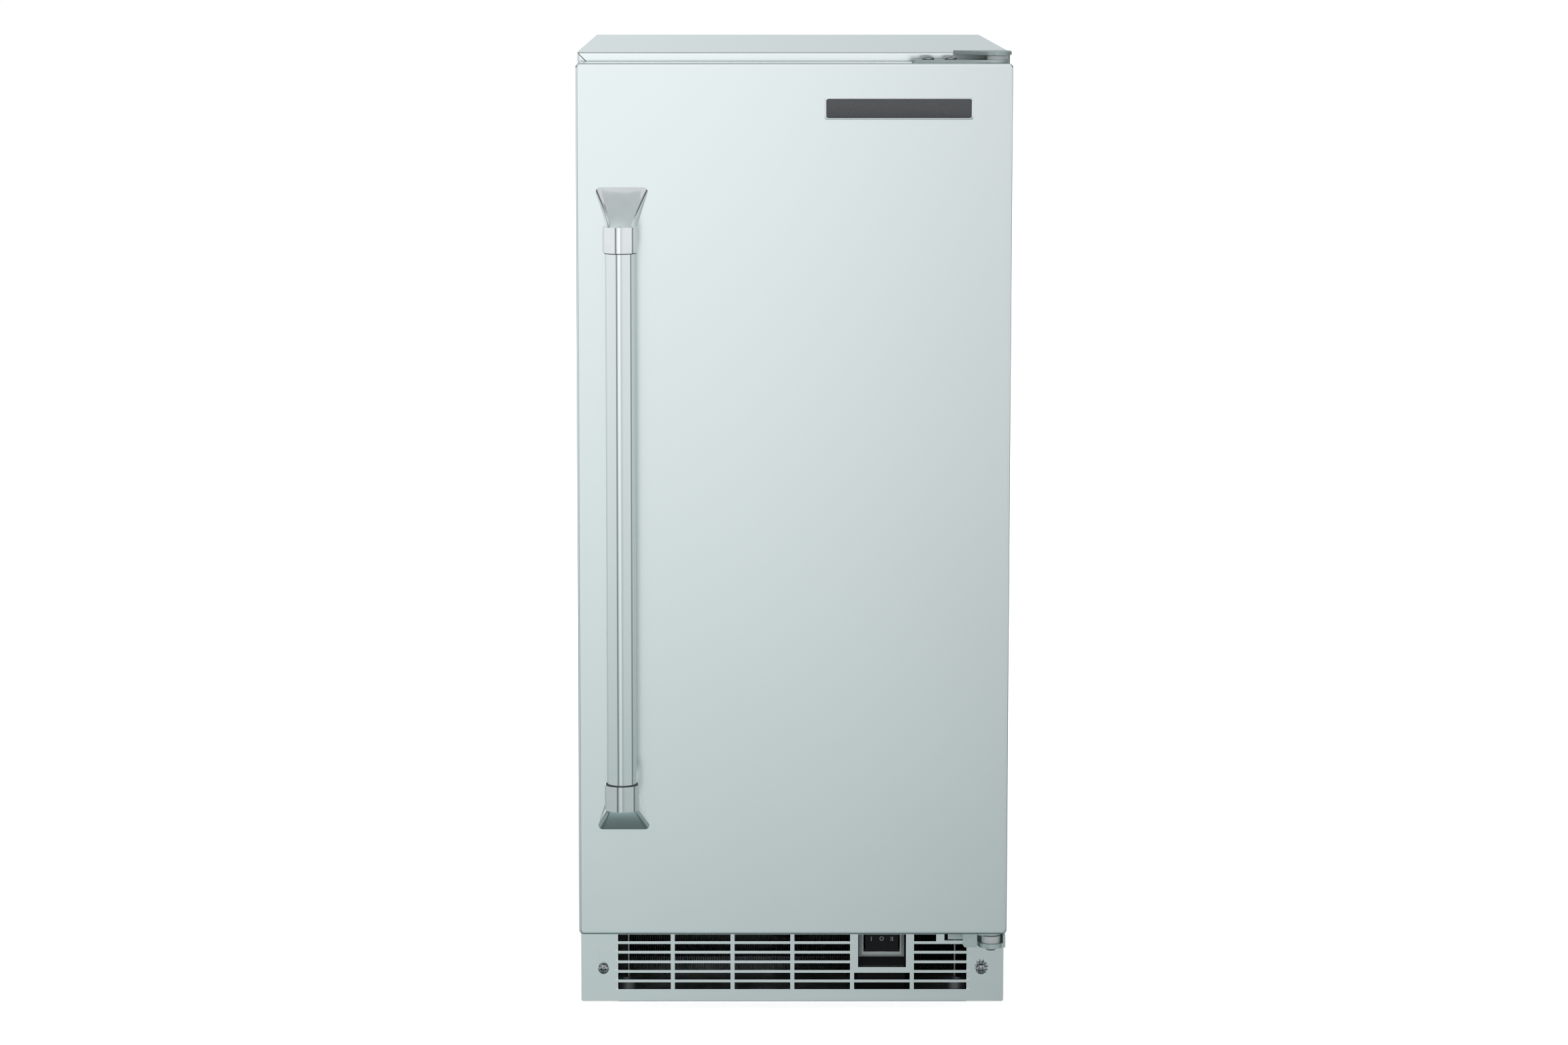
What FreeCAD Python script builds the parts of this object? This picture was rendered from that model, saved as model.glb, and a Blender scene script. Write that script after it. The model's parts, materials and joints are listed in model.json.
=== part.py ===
import FreeCAD
import Part
import math
import os

V = FreeCAD.Vector

# Frame: millimetres, +X to the right seen from the front, -Y towards the front, +Z up.
# The origin is the middle of the base's footprint, on the floor.

# Cabinet
CABINET_WIDTH = 378.0
CABINET_HEIGHT = 848.0
CABINET_DEPTH = 514.0
SHEET = 0.9
SEAM = 0.1
BEND = 1.2
CUT = 1.0
FRAME_FLANGE = 33.0
REAR_FLANGE = 15.0
TOP_REAR_FLANGE = 20.0
BASE_SHEET = 1.5
BASE_FLANGE = 18.0
SILL_FLANGE = 10.0
LEG_THREAD_R = 4.0
LEG_NUT_R = 8.0
LEG_NUT_HEIGHT = 10.0
LEG_INSET = 40.0
SERVICE_PANEL_TOP = 229.0
FRONT_PANEL_RISE = 3.0
FRONT_PANEL_RETURN = 13.0
PANEL_SCREW_R = 2.1
PANEL_HOLE_R = 2.3
PANEL_HEAD_R = 4.5
PANEL_HEAD_TOP_R = 3.2
PANEL_HEAD_HEIGHT = 2.2
SERVICE_SCREW_RISE = 40.0
SERVICE_SCREW_DROP = 30.0
BACK_SCREW_RISE = 40.0
BACK_SCREW_DROP = 60.0
VENT_COLUMNS = 3
VENT_ROWS = 7
VENT_PITCH_X = 88.0
VENT_WIDTH = 72.0
VENT_PITCH_Z = 14.0
VENT_HEIGHT = 5.0
VENT_BOTTOM = 105.0

# Door
DOOR_THICKNESS = 36.0
DOOR_GAP = 9.0
DOOR_BOTTOM = 72.0
DOOR_TOP_DROP = 8.0
DOOR_CORNER = 4.0
DOOR_EDGE = 2.5
DOOR_RETURN = 16.0
LINER_SHEET = 2.5
LINER_INSET = 5.0
LINER_CORNER = 6.0
DIKE_DEPTH = 22.0
DIKE_GAP = 14.0
DIKE_RIM = 34.0
DIKE_CORNER = 14.0
DIKE_EDGE = 6.0
WELL_FLOOR = 4.0
WELL_CORNER = 10.0
GASKET_INSET = 14.0
GASKET_WIDTH = 10.5
GASKET_NECK = 2.3
GASKET_LIP = 2.0
GASKET_CLEARANCE = 0.3

# Handle
HANDLE_TOP_DROP = 107.0
HANDLE_BOTTOM_RISE = 95.0
HANDLE_INSET = 40.0
HANDLE_REACH = 55.0
HANDLE_TUBE_R = 12.7
HANDLE_WALL = 1.5
HANDLE_SOCKET = 12.0
HANDLE_COLLAR_R = 14.9
HANDLE_BASE_WIDTH = 48.0
HANDLE_BASE_HEIGHT = 40.0
HANDLE_BASE_FOOT = 22.0
HANDLE_BASE_ROUND = 4.0
HANDLE_WAIST_ROUND = 3.0
HANDLE_NECK_DROP = 30.0
HANDLE_COLLAR_DROP = 52.0
HANDLE_NECK_INSET = 0.7
HANDLE_NECK_DEPTH = 4.0
HANDLE_NECK_TILT = 12.0
# Waist of the cast end: half width, share of the reach, drop below the rim
HANDLE_WAIST_UPPER = (14.5, 0.49, 20.0)
HANDLE_WAIST_LOWER = (10.5, 0.38, 38.0)
# Where the creases of the cast end meet the collar, in degrees from its front
HANDLE_CREASES = (-35, 35, 135, 225)
HANDLE_CREASE_SPAN = 7

# Hinges
HINGE_SIDE = 13.0
HINGE_FRONT = 17.0
HINGE_SIDE_GAP = 0.5
PIN_R = 4.0
PIN_END_GAP = 1.0
PIN_HEAD_R = 4.9
PIN_HEAD_HEIGHT = 3.0
PIN_HEAD_CHAMFER = 0.8
RUNNING_FIT = 0.05
WORKING_GAP = 0.3
HINGE_PLATE = 3.0
DOOR_PLATE = 2.5
UPPER_ARM_R = 12.5
LOWER_ARM_R = 11.0
ARM_BASE_LEFT = 37.0
LOWER_ARM_BASE = 16.0
HINGE_LEG = 21.0
LOWER_LEG_RISE = 11.0
LOWER_LEG_SCREW_RISE = 3.0
HINGE_SCREW_SIDES = (9.0, 25.0)
HINGE_SCREW_R = 2.4
HINGE_SCREW_REACH = 4.0
HINGE_SCREW_END = 1.2
HINGE_HEAD_R = 4.2
HINGE_HEAD_TOP_R = 2.9
HINGE_HEAD_HEIGHT = 0.9
LOWER_ARM_DROP = 10.5
LOWER_ARM_SHEET = 3.9
UPSTAND = 2.2
UPSTAND_WEB = 2.0
UPSTAND_FRONT = 6.0
UPSTAND_GAP = 1.0
UPPER_PLATE_LENGTH = 74.0
LOWER_PLATE_LENGTH = 32.0
DOOR_PLATE_R = 9.5
DOOR_PLATE_ROUND = 9.0
DOOR_PLATE_CORNER = 3.0
STOP_TAB_WIDTH = 12.6
STOP_TAB_INNER = 12.4
STOP_TAB_FRONT = 3.0
STOP_TAB_DROP = 12.5
STOP_TAB_ROUND = 3.2
STOP_TAB_EDGE = 1.0
STOP_PLATE_CORNER = 2.0
BUSH_R = 6.5
BUSH_DEPTH = 14.0
BUSH_END_GAP = 0.5
UPPER_BUSH_FLANGE_R = 9.0
UPPER_BUSH_FLANGE = 3.8
LOWER_BUSH_FLANGE_R = 6.9
LOWER_BUSH_FLANGE = 1.3
THRUST_WASHER_R = 8.5
DOME_SCREW_R = 5.4
DOME_SCREW_HEIGHT = 3.0
DOME_SCREW_RIM = 0.4
DOME_SCREW_PLACES = (40.5, 60.0)
DOME_SHANK_R = 2.4
DOME_SHANK = 8.0
DOME_HOLE_R = 2.6

# Kick grille and switch
GRILLE_SHEET = 1.2
GRILLE_BOTTOM = 0.8
GRILLE_TOP = 72.0
GRILLE_CORNER = 1.5
GRILLE_SIDE = 28.5
GRILLE_COLUMNS = 6
GRILLE_ROWS = 6
GRILLE_BAR = 3.6
SLOT_PITCH_Z = 8.78
SLOT_HEIGHT = 6.35
SLOT_BOTTOM = 11.4
HINGE_SLOT_CUT = 30.0
HINGE_CLEAR = 3.0
WINDOW_WIDTH = 42.9
WINDOW_BOTTOM = 31.6
WINDOW_COLUMN = 4
WINDOW_LIP = 6.0
ADJUST_INSET = 20.0
ADJUST_Z = 30.4
ADJUST_WIDTH = 7.6
ADJUST_TOP = 51.3
GRILLE_SCREW_R = 4.8
GRILLE_SCREW_TOP_R = 3.4
GRILLE_SCREW_HEIGHT = 3.0
GRILLE_SCREW_SHANK = 14.0
SWITCH_RECESS = 12.0
BEZEL_WIDTH = 40.6
BEZEL_HEIGHT = 34.0
BEZEL_DEPTH = 12.0
BEZEL_CHAMFER = 2.5
BEZEL_RISE = 6.0
ROCKER_WIDTH = 29.6
ROCKER_HEIGHT = 23.0
ROCKER_SLOT = 16.3
ROCKER_GAP = 0.5
ROCKER_ROOM = 1.0
ROCKER_PROUD = 1.5
ROCKER_DISH = 1.6
ROCKER_SKIRT = 2.0
ROCKER_FOOT = 5.0
ROCKER_FOOT_DEPTH = 6.0
ROCKER_FOOT_EDGE = 1.0
ROCKER_PIN_R = 1.6
ROCKER_PIN_DEPTH = 5.0
ROCKER_PIN_LENGTH = 3.0
CONTROL_BOX_DEPTH = 28.0
CONTROL_BOX_WALL = 6.0
CONTROL_BOX_SIDE = 2.0
CONTROL_BOX_RISE = 4.0
CONTROL_BOX_EDGE = 2.0

# Ice bin
BIN_SIDE = 37.0
BIN_CEILING = 37.0
BIN_BACK = 35.0
BIN_FLOOR = 262.0
BIN_WALL = 2.5
BIN_CORNER = 6.0
BIN_REAR_EASE = 1.0
BIN_LIP = 11.0
BIN_LIP_CORNER = 6.0
FLOOR_FOAM = 30.0
DECK_FLANGE = 10.0
PORT_REACH = 10.0
LINER_PORT_GAP = 0.6
FOAM_GAP = 1.5
DECK_GAP = 1.0
RISER_HEADROOM = 8.0

# Freezing section
CHEEK = 3.0
CHEEK_DEPTH = 330.0
CHEEK_HEIGHT = 205.0
CHEEK_SPACE = 14.0
CHEEK_CORNER = 8.0
LEDGE = 14.0
ROD_GAP = 0.2
PUMP_BAY = 45.0
EVAPORATOR_DROP = 26.0
EVAPORATOR_INSET = 6.0
EVAPORATOR_GAP = 0.4
CUP_PITCH = 44.0
CUP_ROWS = 4
CUP_R = 17.0
CUP_HEIGHT = 28.0
CUP_WALL = 1.6
CUP_SPACE = 3.0
COIL_R = 4.8
COIL_EASE = 0.5
COIL_TIGHT_BEND = 7.0
COIL_TAIL = 30.0
FEED_SPACE = 6.0
SUMP_RISE = 16.0
SUMP_INSET = 4.0
SUMP_GAP = 0.6
SUMP_WALL = 2.5
SUMP_HEIGHT = 46.0
SUMP_DEPTH = 196.0
SUMP_CORNER = 8.5
MANIFOLD_R = 5.5
MANIFOLD_INSET = 0.5
BRANCH_R = 4.6
BRANCH_END = 2.0
JET_R = 3.4
JET_TIP_R = 1.8
JET_HEIGHT = 7.0
JET_SINK = 3.0
PUMP_PIPE_R = 4.5
PUMP_PIPE_RISE = 12.0
PUMP_PIPE_BEND = 8.0
CHUTE_DROP = 78.0
CHUTE_FALL = 22.0
CHUTE_SPACE = 14.0
CHUTE_ROD_R = 4.0
CHUTE_ROD_INSET = 8.0
CHUTE_ROD_DROPS = (4.0, 6.0)
SLAT = 3.0
SLAT_HEIGHT = 9.0
SLAT_PITCH = 15.0
CURTAIN_INSET = 10.0
CURTAIN_DROP = 16.0
CURTAIN_ROD_R = 3.0
CURTAIN_HEIGHT = 138.0
CURTAIN_SHEET = 2.0
CURTAIN_STRIPS = 7
CURTAIN_GAP = 3.0
CURTAIN_SLIT = 2.0
CURTAIN_BAND = 34.0
CURTAIN_KNUCKLE = 3.0
CURTAIN_RIB = 2.0
CURTAIN_RIB_DEPTH = 3.0
CURTAIN_RIB_ENDS = (8.0, 12.0)
PUMP_R = 20.0
PUMP_INSET = 46.0
PUMP_SHELF_RISE = 12.0
PUMP_MOTOR_HEIGHT = 58.0
PUMP_MOTOR_EDGE = 1.0
PUMP_SHOULDER = 4.0
PUMP_CAP_R = 12.0
PUMP_CAP_HEIGHT = 8.0
PUMP_CAP_EDGE = 2.0
PUMP_COLUMN_R = 8.0
PUMP_COLUMN_GAP = 1.0
VOLUTE_R = 18.0
VOLUTE_HEIGHT = 14.0
VOLUTE_LIFT = 1.0
FLOAT_INSET = 42.0
FLOAT_RISE = 24.0
FLOAT_LIFT = 26.0
FLOAT_R = 13.0
FLOAT_LENGTH = 38.0
FLOAT_EDGE = 4.0
FLOAT_LEVER = 62.0
FLOAT_LEVER_R = 2.2
FLOAT_LEVER_BEND = 5.0
FLOAT_LEVER_DROP = 10.0
FLOAT_PIN_R = 2.0
FLOAT_HUB_R = 5.0
FLOAT_HUB = 12.0
FLOAT_VALVE_WIDTH = 40.0
FLOAT_VALVE_HALF = 12.0
FLOAT_VALVE_RISE = 8.0
FLOAT_VALVE_EDGE = 4.0
FORK = 4.0
FORK_HALF = 6.0
FORK_SPAN = 22.0
WATER_TUBE_R = 3.5
WATER_TUBE_SPACE = 4.0
WATER_TUBE_RISE = 46.0
TUBE_BEND = 8.0

# Machine compartment
CONDENSER_SETBACK = 58.0
CONDENSER_DEPTH = 40.0
CONDENSER_SIDE = 40.5
CONDENSER_TOP = 178.0
CONDENSER_FOOT = 14.0
CORE_GAP = 1.0
FIN_PITCH = 7.0
FIN_SLIT = 4.6
FIN_SLIT_DEPTH = 5.0
CONDENSER_ROWS = 6
ROW_PITCH = 26.0
FIRST_ROW = 24.0
END_PLATE_FRONT = 6.0
END_PLATE_FOOT = 10.0
RETURN_R = 4.0
RETURN_BEND = 12.0
RETURN_REACH = 14.0
RETURN_SINK = 0.5
SHROUD_DEPTH = 35.0
SHROUD_SHEET = 1.2
RING_LIP = 12.0
STRAP_SPACE = 10.0
STRAP_HALF = 16.0
STRAP_SHEET = 2.0
STRAP_HOLE_GAP = 3.0
FAN_R = 66.0
FAN_RING_R = 71.0
FAN_HUB_R = 19.0
FAN_DEPTH = 26.0
FAN_BLADES = 5
BLADE_SHEET = 2.0
BLADE_HALF = 22.0
BLADE_CAMBER = 5.0
BLADE_SINK = 3.0
BLADE_ANGLE = 28
SHAFT_R = 4.0
SHAFT_SOCKET = 25.0
SHAFT_REACH = 20.0
MOTOR_R = 34.0
MOTOR_LENGTH = 50.0
MOTOR_EDGE = 5.0
COMPRESSOR_SIDE = 119.0
COMPRESSOR_SETBACK = 117.0
COMPRESSOR_R = 75.0
COMPRESSOR_HEIGHT = 168.0
COMPRESSOR_LIFT = 16.0
COMPRESSOR_PLATE = 3.0
COMPRESSOR_PLATE_X = 82.0
COMPRESSOR_PLATE_Y = 62.0
COMPRESSOR_FOOT_IN = 14.0
COMPRESSOR_SKIRT = 22.0
COMPRESSOR_SKIRT_ROUND = 12.0
COMPRESSOR_SHOULDER = 40.0
COMPRESSOR_SHOULDER_ROUND = 30.0
COMPRESSOR_CROWN_IN = 34.0
COMPRESSOR_CROWN_ROUND = 20.0
COVER_HALF = 30.0
COVER_PROUD = 10.0
COVER_SINK = 20.0
COVER_LOW = 60.0
COVER_HIGH = 120.0
COVER_EDGE = 4.0
FOOT_X = 70.0
FOOT_Y = 50.0
FOOT_R = 12.0
FOOT_WAIST_R = 9.0
FOOT_WAIST = 8.0
FOOT_EDGE = 1.5
STUB_Z = 120.0
DISCHARGE_HEADING = (0.8, -0.6)
GAS_LINE_R = 3.2
GAS_LINE_RISE = 14.0
GAS_LINE_SIDE = 24.0
GAS_ENTRY = 10.0
HOT_GAS_Z = 160.0
VALVE_SHIFT = 16.0
VALVE_HALF_X = 10.0
VALVE_HALF_Y = 12.0
VALVE_HALF_Z = 9.0
VALVE_COIL_R = 13.0
VALVE_COIL = 36.0
SUCTION_R = 4.8
SUCTION_BEND = 10.0
LIQUID_EXIT = 12.0
LIQUID_CROSS_DROP = 26.0
DRIER_R = 11.0
DRIER_LENGTH = 80.0
DRIER_SPACE = 40.0
DRIER_EDGE = 6.0
DRAIN_X = -59.4
DRAIN_BEHIND = 20.0
DRAIN_Z = 46.0
DRAIN_R = 11.0
DRAIN_WALL = 2.5
DRAIN_BEND = 22.0
DRAIN_FLANGE = 7.0
DRAIN_FLANGE_SHEET = 2.0
DRAIN_THREAD_R = 13.0
DRAIN_THREAD_IN = 10.0
DRAIN_COLLAR_WALL = 4.0
DRAIN_COLLAR_IN = 22.0
DRAIN_COLLAR_OUT = 12.0
PORT_GAP = 0.2
INLET_R = 8.0
INLET_GAP = 1.0
INLET_LENGTH = 18.0
INLET_X = -120.0
INLET_Z = 60.0
INLET_BODY_END = 10.0
INLET_BODY_SIDE = 16.0
INLET_BODY_FRONT = 14.0
INLET_BODY_DROP = 14.0
INLET_BODY_RISE = 12.0
INLET_BODY_EDGE = 3.0
INLET_COIL_R = 13.0
INLET_COIL = 24.0
INLET_RISER_R = 6.0
INLET_RISER = 22.0
GLAND_X = 132.0
GLAND_Z = 62.0
GLAND_NUT_R = 13.0
GLAND_NUT = 6.0
GLAND_BARREL_R = 9.0
GLAND_BARREL = 24.0
GLAND_BORE_R = 5.0
GLAND_CAP = 12.0
GLAND_CAP_EDGE = 3.0

# Places worked out from the sizes above
HALF = CABINET_WIDTH / 2
FRONT = -CABINET_DEPTH / 2
BACK = CABINET_DEPTH / 2
INSIDE = HALF - SHEET - SEAM
INSIDE_BEND = HALF - SHEET - BEND - SEAM
OUTER_BEND = SHEET + BEND
REAR_SKIN = BACK - SHEET - SEAM
REAR_SKIN_FRONT = REAR_SKIN - SHEET
INNER_REAR = REAR_SKIN_FRONT - SEAM
INNER_FRONT = FRONT + OUTER_BEND + SEAM
INNER_TOP = CABINET_HEIGHT - OUTER_BEND - SEAM
DOOR_REAR = FRONT - DOOR_GAP
DOOR_FRONT = DOOR_REAR - DOOR_THICKNESS
DOOR_TOP = CABINET_HEIGHT - DOOR_TOP_DROP
HANDLE_X = -HALF + HANDLE_INSET
HANDLE_Y = DOOR_FRONT - HANDLE_REACH
HANDLE_TOP = DOOR_TOP - HANDLE_TOP_DROP
HANDLE_BOTTOM = DOOR_BOTTOM + HANDLE_BOTTOM_RISE
HANDLE_CENTRE_Z = (HANDLE_TOP + HANDLE_BOTTOM) / 2
AXIS_X = HALF - HINGE_SIDE
AXIS_Y = DOOR_FRONT + HINGE_FRONT
HINGE_EDGE = HALF - HINGE_SIDE_GAP
HINGE_FACE = FRONT - SEAM
UPPER_FLANGE_LOW = DOOR_TOP + DOOR_PLATE + SEAM
UPPER_FLANGE_TOP = DOOR_TOP + DOOR_PLATE + UPPER_BUSH_FLANGE
UPPER_ARM_Z = UPPER_FLANGE_TOP + WORKING_GAP
UPPER_ARM_TOP = UPPER_ARM_Z + HINGE_PLATE
LOWER_PLATE_Z = DOOR_BOTTOM - DOOR_PLATE
LOWER_ARM_TOP = DOOR_BOTTOM - LOWER_ARM_DROP
LOWER_ARM_Z = LOWER_ARM_TOP - LOWER_ARM_SHEET
UPPER_LEG_SCREW_Z = CABINET_HEIGHT - HINGE_LEG / 2
LOWER_LEG_SCREW_Z = DOOR_BOTTOM + LOWER_LEG_SCREW_RISE
HINGE_SCREW_PLACES = [(HALF - side, z) for side in HINGE_SCREW_SIDES
                      for z in (UPPER_LEG_SCREW_Z, LOWER_LEG_SCREW_Z)]
GRILLE_FACE = FRONT - SEAM - GRILLE_SHEET
SLOT_PITCH_X = (CABINET_WIDTH - 2 * GRILLE_SIDE) / GRILLE_COLUMNS
SLOT_WIDTH = SLOT_PITCH_X - GRILLE_BAR
ADJUST_X = HALF - ADJUST_INSET
WINDOW_X = (WINDOW_COLUMN - (GRILLE_COLUMNS - 1) / 2) * SLOT_PITCH_X
WINDOW_TOP = SLOT_BOTTOM + (GRILLE_ROWS - 1) * SLOT_PITCH_Z + SLOT_HEIGHT
BEZEL_Y = FRONT + SWITCH_RECESS
BEZEL_LOW = WINDOW_BOTTOM + BEZEL_RISE
ROCKER_Z = BEZEL_LOW + BEZEL_HEIGHT / 2
ROCKER_PIN_Y = BEZEL_Y + ROCKER_PIN_DEPTH
BIN_HALF = HALF - BIN_SIDE
BIN_TOP = CABINET_HEIGHT - BIN_CEILING
BIN_REAR = BACK - BIN_BACK
LINER_FRONT = FRONT + SHEET + SEAM
DECK_TOP = BIN_FLOOR - BIN_WALL - FLOOR_FOAM - SEAM
CHEEK_INNER = BIN_HALF - SEAM - CHEEK
CHEEK_OUTER = CHEEK_INNER + CHEEK
CHEEK_REAR = BIN_REAR - BIN_CORNER - CHEEK_SPACE
CHEEK_FRONT = CHEEK_REAR - CHEEK_DEPTH
CHEEK_TOP = BIN_TOP - BIN_CORNER - CHEEK_SPACE
CHEEK_BOTTOM = CHEEK_TOP - CHEEK_HEIGHT
EVAPORATOR_Z = CHEEK_TOP - EVAPORATOR_DROP
EVAPORATOR_REAR = CHEEK_REAR - EVAPORATOR_INSET
EVAPORATOR_FRONT = EVAPORATOR_REAR - CUP_ROWS * CUP_PITCH
SUMP_Z = CHEEK_BOTTOM + SUMP_RISE
SUMP_REAR = CHEEK_REAR - SUMP_INSET
SUMP_FRONT = SUMP_REAR - SUMP_DEPTH
SUMP_RIM = SUMP_Z + SEAM + SUMP_HEIGHT
CUP_COLUMNS = int((2 * CHEEK_INNER - 2 * LEDGE - PUMP_BAY) / CUP_PITCH)
CUP_RIGHT = CHEEK_INNER - LEDGE - CUP_R - CUP_SPACE
CUP_LEFT = CUP_RIGHT - (CUP_COLUMNS - 1) * CUP_PITCH
CUP_BACK = EVAPORATOR_REAR - CUP_PITCH / 2
COIL_Z = EVAPORATOR_Z + SEAM + CHEEK + SEAM + COIL_R
COIL_TAIL_Z = COIL_Z - COIL_TAIL
LINE_Y = (BIN_REAR + BIN_WALL + REAR_SKIN_FRONT) / 2
SUCTION_X = CUP_RIGHT
FEED_X = SUCTION_X + 2 * COIL_R + FEED_SPACE
CURTAIN_Y = CHEEK_FRONT + CURTAIN_INSET
CURTAIN_Z = CHEEK_TOP - CURTAIN_DROP
BAY_X = (CUP_LEFT - CUP_R - CHEEK_INNER) / 2
PUMP_Y = SUMP_REAR - PUMP_INSET
PUMP_SHELF_Z = SUMP_RIM + PUMP_SHELF_RISE
MANIFOLD_X = CUP_LEFT - CUP_R + MANIFOLD_R
FLOAT_PIVOT_Y = SUMP_FRONT + FLOAT_INSET
FLOAT_PIVOT_Z = SUMP_RIM + FLOAT_RISE
FLOAT_VALVE_END = -CHEEK_INNER + FLOAT_VALVE_WIDTH
FLOAT_MIDDLE = FLOAT_VALVE_END - FORK_SPAN / 2
WATER_TUBE_X = -CHEEK_INNER + WATER_TUBE_R + WATER_TUBE_SPACE
WATER_TUBE_Z = FLOAT_PIVOT_Z + WATER_TUBE_RISE
CHUTE_REAR = (SUMP_REAR - CHUTE_SPACE, EVAPORATOR_Z - CUP_HEIGHT - CHUTE_FALL)
CHUTE_FRONT = (CURTAIN_Y + CHUTE_SPACE, CHUTE_REAR[1] - CHUTE_DROP)
CHUTE_RODS = [(CHUTE_FRONT[0] + CHUTE_ROD_INSET, CHUTE_FRONT[1] - CHUTE_ROD_R - CHUTE_ROD_DROPS[0]),
              (CHUTE_REAR[0] - CHUTE_ROD_INSET, CHUTE_REAR[1] - CHUTE_ROD_R - CHUTE_ROD_DROPS[1])]
CONDENSER_HALF = HALF - CONDENSER_SIDE
CONDENSER_FRONT = FRONT + CONDENSER_SETBACK
CONDENSER_REAR = CONDENSER_FRONT + CONDENSER_DEPTH
CONDENSER_Y = (CONDENSER_FRONT + CONDENSER_REAR) / 2
CONDENSER_Z = BASE_SHEET + CONDENSER_FOOT
CONDENSER_TUBES = [CONDENSER_Z + FIRST_ROW + row * ROW_PITCH for row in range(CONDENSER_ROWS)]
SHROUD_REAR = CONDENSER_REAR + SEAM + SHROUD_DEPTH
FAN_Z = (CONDENSER_Z + CONDENSER_TOP) / 2
FAN_Y = SHROUD_REAR - FAN_DEPTH / 2
STRAP_Y = FAN_Y + FAN_DEPTH + STRAP_SPACE
COMPRESSOR_X = HALF - COMPRESSOR_SIDE
COMPRESSOR_Y = BACK - COMPRESSOR_SETBACK
COMPRESSOR_Z = BASE_SHEET + COMPRESSOR_LIFT + SEAM
GAS_LINE_X = HALF - GAS_LINE_SIDE
GAS_TOP_Z = CONDENSER_TOP + GAS_LINE_RISE
DRAIN_Y = COMPRESSOR_Y + DRAIN_BEHIND
LEG_PLACES = [(sx * (HALF - LEG_INSET), sy * (CABINET_DEPTH / 2 - LEG_INSET))
              for sx in (-1, 1) for sy in (-1, 1)]


def block(x0, x1, y0, y1, z0, z1):
    return Part.makeBox(x1 - x0, y1 - y0, z1 - z0, V(x0, y0, z0))


def rod(start, direction, radius, length):
    return Part.makeCylinder(radius, length, V(*start), V(*direction))


def along_y(x, z, radius, y0, y1):
    return rod((x, y0, z), (0, 1, 0), radius, y1 - y0)


def along_z(x, y, radius, z0, z1):
    return rod((x, y, z0), (0, 0, 1), radius, z1 - z0)


def ring(start, direction, radius, bore, length):
    return rod(start, direction, radius, length).cut(rod(start, direction, bore, length))


def edges_through(corners, closed):
    """Straight edges through 3-D corners (point, radius), with a tangent arc at each radius."""
    count = len(corners)
    entries = []
    for i, (corner, radius) in enumerate(corners):
        inner = closed or 0 < i < count - 1
        if radius <= 0 or not inner:
            entries.append((corner, None, corner))
            continue
        back = corners[i - 1][0].sub(corner).normalize()
        ahead = corners[(i + 1) % count][0].sub(corner).normalize()
        half_angle = back.getAngle(ahead) / 2
        run = radius / math.tan(half_angle)
        middle = back.add(ahead).normalize().multiply(radius / math.sin(half_angle) - radius)
        start = corner.add(V(back).multiply(run))
        end = corner.add(V(ahead).multiply(run))
        entries.append((start, corner.add(middle), end))
    edges = []
    for i, (start, middle, end) in enumerate(entries):
        if middle is not None:
            edges.append(Part.Arc(start, middle, end).toShape())
        if i + 1 < count or closed:
            following = entries[(i + 1) % count][0]
            if end.distanceToPoint(following) > 1e-6:
                edges.append(Part.LineSegment(end, following).toShape())
    return edges


def prism(axis, low, high, corners):
    """Solid along an axis, with corners (u, v) or (u, v, radius) in the plane across it."""
    places = {"x": lambda u, v: V(low, u, v), "y": lambda u, v: V(u, low, v), "z": lambda u, v: V(u, v, low)}
    lengths = {"x": V(high - low, 0, 0), "y": V(0, high - low, 0), "z": V(0, 0, high - low)}
    points = [(places[axis](c[0], c[1]), c[2] if len(c) > 2 else 0.0) for c in corners]
    return Part.Face(Part.Wire(edges_through(points, True))).extrude(lengths[axis])


def rounded(u0, u1, v0, v1, radius):
    return [(u0, v0, radius), (u1, v0, radius), (u1, v1, radius), (u0, v1, radius)]


def pipe(points, radius, bend):
    """Round tube along straight runs with bends."""
    corners = [(V(*p), bend) for p in points]
    path = Part.Wire(edges_through(corners, False))
    heading = V(*points[1]).sub(V(*points[0]))
    section = Part.Wire(Part.makeCircle(radius, V(*points[0]), heading))
    return path.makePipeShell([section], True, False)


def turned(corners, x, y):
    """Solid of revolution about a vertical line, from (radius, z, fillet) corners."""
    points = [(V(c[0], 0, c[1]), c[2] if len(c) > 2 else 0.0) for c in corners]
    face = Part.Face(Part.Wire(edges_through(points, True)))
    solid = face.revolve(V(0, 0, 0), V(0, 0, 1), 360)
    return solid.translated(V(x, y, 0))


def joined(shapes):
    return shapes[0].multiFuse(shapes[1:]).removeSplitter() if len(shapes) > 1 else shapes[0]


def edges_in_plane(shape, axis, value):
    low, high = axis + "Min", axis + "Max"
    return [e for e in shape.Edges
            if abs(getattr(e.BoundBox, low) - value) < 1e-4 and abs(getattr(e.BoundBox, high) - value) < 1e-4]


def upright_edges(shape):
    return [e for e in shape.Edges if abs(e.BoundBox.ZLength - e.Length) < 1e-6]


def mirrored_x(shape):
    return shape.mirror(V(0, 0, 0), V(1, 0, 0))


# Cabinet shell


def leg_holes():
    high = BASE_SHEET + LEG_NUT_HEIGHT + CUT
    return [along_z(x, y, LEG_THREAD_R, -CUT, high) for x, y in LEG_PLACES]


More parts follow.
